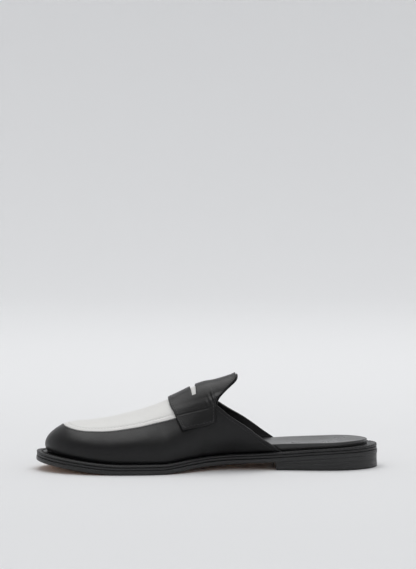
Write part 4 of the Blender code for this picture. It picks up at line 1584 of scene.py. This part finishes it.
def saddle_half(side):
    """Points, levels and distances from the heel of one half of the saddle, from the tab to the ridge."""
    edge = SADDLE_THICK * SADDLE_EDGE
    end = slot_level(side)
    shoulder = np.linspace(1, end, SHOULDER_ROWS + 1)
    crown = np.concatenate([shoulder, np.linspace(end, 2, SLOT_ROWS + 1)[1:]])
    tab = np.linspace(0, 1, TAB_ROWS + 1)[:-1]
    foot_front = LIP_LEVEL + (1 - LIP_LEVEL) * TAB_FRONT
    foot_rear = LIP_LEVEL + (1 - LIP_LEVEL) * TAB_REAR
    front_level = np.concatenate([foot_front + (1 - foot_front) * tab, crown])
    rear_level = np.concatenate([foot_rear + (1 - foot_rear) * tab, crown])
    front = meets(saddle_front_edge, side, front_level) - edge
    rear = meets(saddle_rear_edge, side, rear_level) + edge
    across = on_rib(side_rib(SLOT_PLACE * LENGTH + 0 * crown, side), crown)[:, 1]
    across = np.concatenate([np.full(len(tab), across[0]), across])
    slot_front, slot_rear = slot_edges(across)
    stretches = []
    for start, stop, count in (
        (front, slot_front, FRONT_COLUMNS),
        (slot_front, slot_rear, SLOT_COLUMNS),
        (slot_rear, rear, REAR_COLUMNS),
    ):
        shares = np.linspace(0, 1, count + 1)[:-1]
        stretches.append(start[:, None] + (stop - start)[:, None] * shares)
    from_heel = np.concatenate([*stretches, rear[:, None]], axis=1)
    share = (front[:, None] - from_heel) / (front - rear)[:, None]
    level = front_level[:, None] + (rear_level - front_level)[:, None] * share
    return on_rib(side_rib(from_heel, side), level), level, from_heel


class LOAFER_OT_saddle(bpy.types.Operator):
    """Makes the penny strap and the tongue, with the slot, the creases and the seams"""

    bl_idname = "loafer.saddle"
    bl_label = "Saddle"
    bl_options = {"REGISTER", "UNDO"}

    def execute(self, context):
        sizes = context.scene.loafer_sizes
        joined = []
        for medial, lateral in zip(saddle_half(MEDIAL), saddle_half(LATERAL)):
            joined.append(np.concatenate([medial, lateral[-2::-1]]))
        points, level, from_heel = joined
        normals = grid_normals(points)
        over_wall = LEATHER_THICK + GAP
        over_apron = GAP + APRON_THICK + GAP
        behind = soft_step(APRON_END - from_heel, 0, SADDLE_RAMP)
        over_crown = over_apron + (TONGUE_CLEAR - over_apron) * behind
        lift = over_wall + (over_crown - over_wall) * soft_step(level, *SADDLE_LIFT_LEVELS)
        seam = -SADDLE_SEAM_DEPTH * bell(level - SADDLE_SEAM_LEVEL, SADDLE_SEAM_SPREAD)
        seam = seam * soft_step(from_heel / LENGTH, *SADDLE_SEAM_START)
        flank = 1 - soft_step(level, *CREASE_FADE_LEVELS)
        outer = lift + SADDLE_THICK + seam + sizes.crease_scale * flank * creases(points, SADDLE_CREASES)
        keep = np.ones((points.shape[0] - 1, points.shape[1] - 1), bool)
        first = TAB_ROWS + SHOULDER_ROWS
        keep[first:first + 2 * SLOT_ROWS, FRONT_COLUMNS:FRONT_COLUMNS + SLOT_COLUMNS] = False
        build = Build()
        outside = add_shell(build, points, normals, lift, outer, SADDLE_THICK * SADDLE_EDGE, keep=keep)
        build.finish("dressed_saddle", black_finishes(), "black_leather", "saddle")
        threads = Build()
        middle = slice(SEAM_MARGIN, -SEAM_MARGIN)
        for skin, ups in (
            (outside, normals),
            (outside[:, ::-1], normals[:, ::-1]),
            (sideways(outside), sideways(normals)),
            (sideways(outside[::-1]), sideways(normals[::-1])),
        ):
            line, up = line_inside(skin, ups, sizes.seam_inset)
            sew(threads, line[middle], up[middle], sizes.thread_pitch, sizes.thread_width)
        threads.finish("saddle_thread", [shared_finish("black_thread")], "black_leather", "saddle")
        return {"FINISHED"}


class LOAFER_PT_panel(bpy.types.Panel):
    """Lists the pieces, the sizes and the colours"""

    bl_idname = "LOAFER_PT_panel"
    bl_label = "Backless penny loafer"
    bl_space_type = "VIEW_3D"
    bl_region_type = "UI"
    bl_category = "Loafer"

    def draw(self, context):
        for operator in STEPS:
            self.layout.operator(operator.bl_idname)
        for group in (context.scene.loafer_sizes, context.scene.loafer_colours):
            box = self.layout.box()
            for name in group.__annotations__:
                box.prop(group, name)


STEPS = (
    LOAFER_OT_camera,
    LOAFER_OT_stage,
    LOAFER_OT_outsole,
    LOAFER_OT_midsole,
    LOAFER_OT_welt,
    LOAFER_OT_heel,
    LOAFER_OT_insole,
    LOAFER_OT_upper,
    LOAFER_OT_apron,
    LOAFER_OT_saddle,
)
CLASSES = (LoaferSizes, LoaferColours, *STEPS, LOAFER_PT_panel)


def register():
    for item in CLASSES:
        bpy.utils.register_class(item)
    bpy.types.Scene.loafer_sizes = PointerProperty(type=LoaferSizes)
    bpy.types.Scene.loafer_colours = PointerProperty(type=LoaferColours)


def unregister():
    del bpy.types.Scene.loafer_colours
    del bpy.types.Scene.loafer_sizes
    for item in reversed(CLASSES):
        bpy.utils.unregister_class(item)


def main():
    register()
    bpy.ops.loafer.camera()
    bpy.ops.loafer.stage()
    bpy.ops.loafer.outsole()
    bpy.ops.loafer.midsole()
    bpy.ops.loafer.welt()
    bpy.ops.loafer.heel()
    bpy.ops.loafer.insole()
    bpy.ops.loafer.upper()
    bpy.ops.loafer.apron()
    bpy.ops.loafer.saddle()


if __name__ == "__main__":
    main()
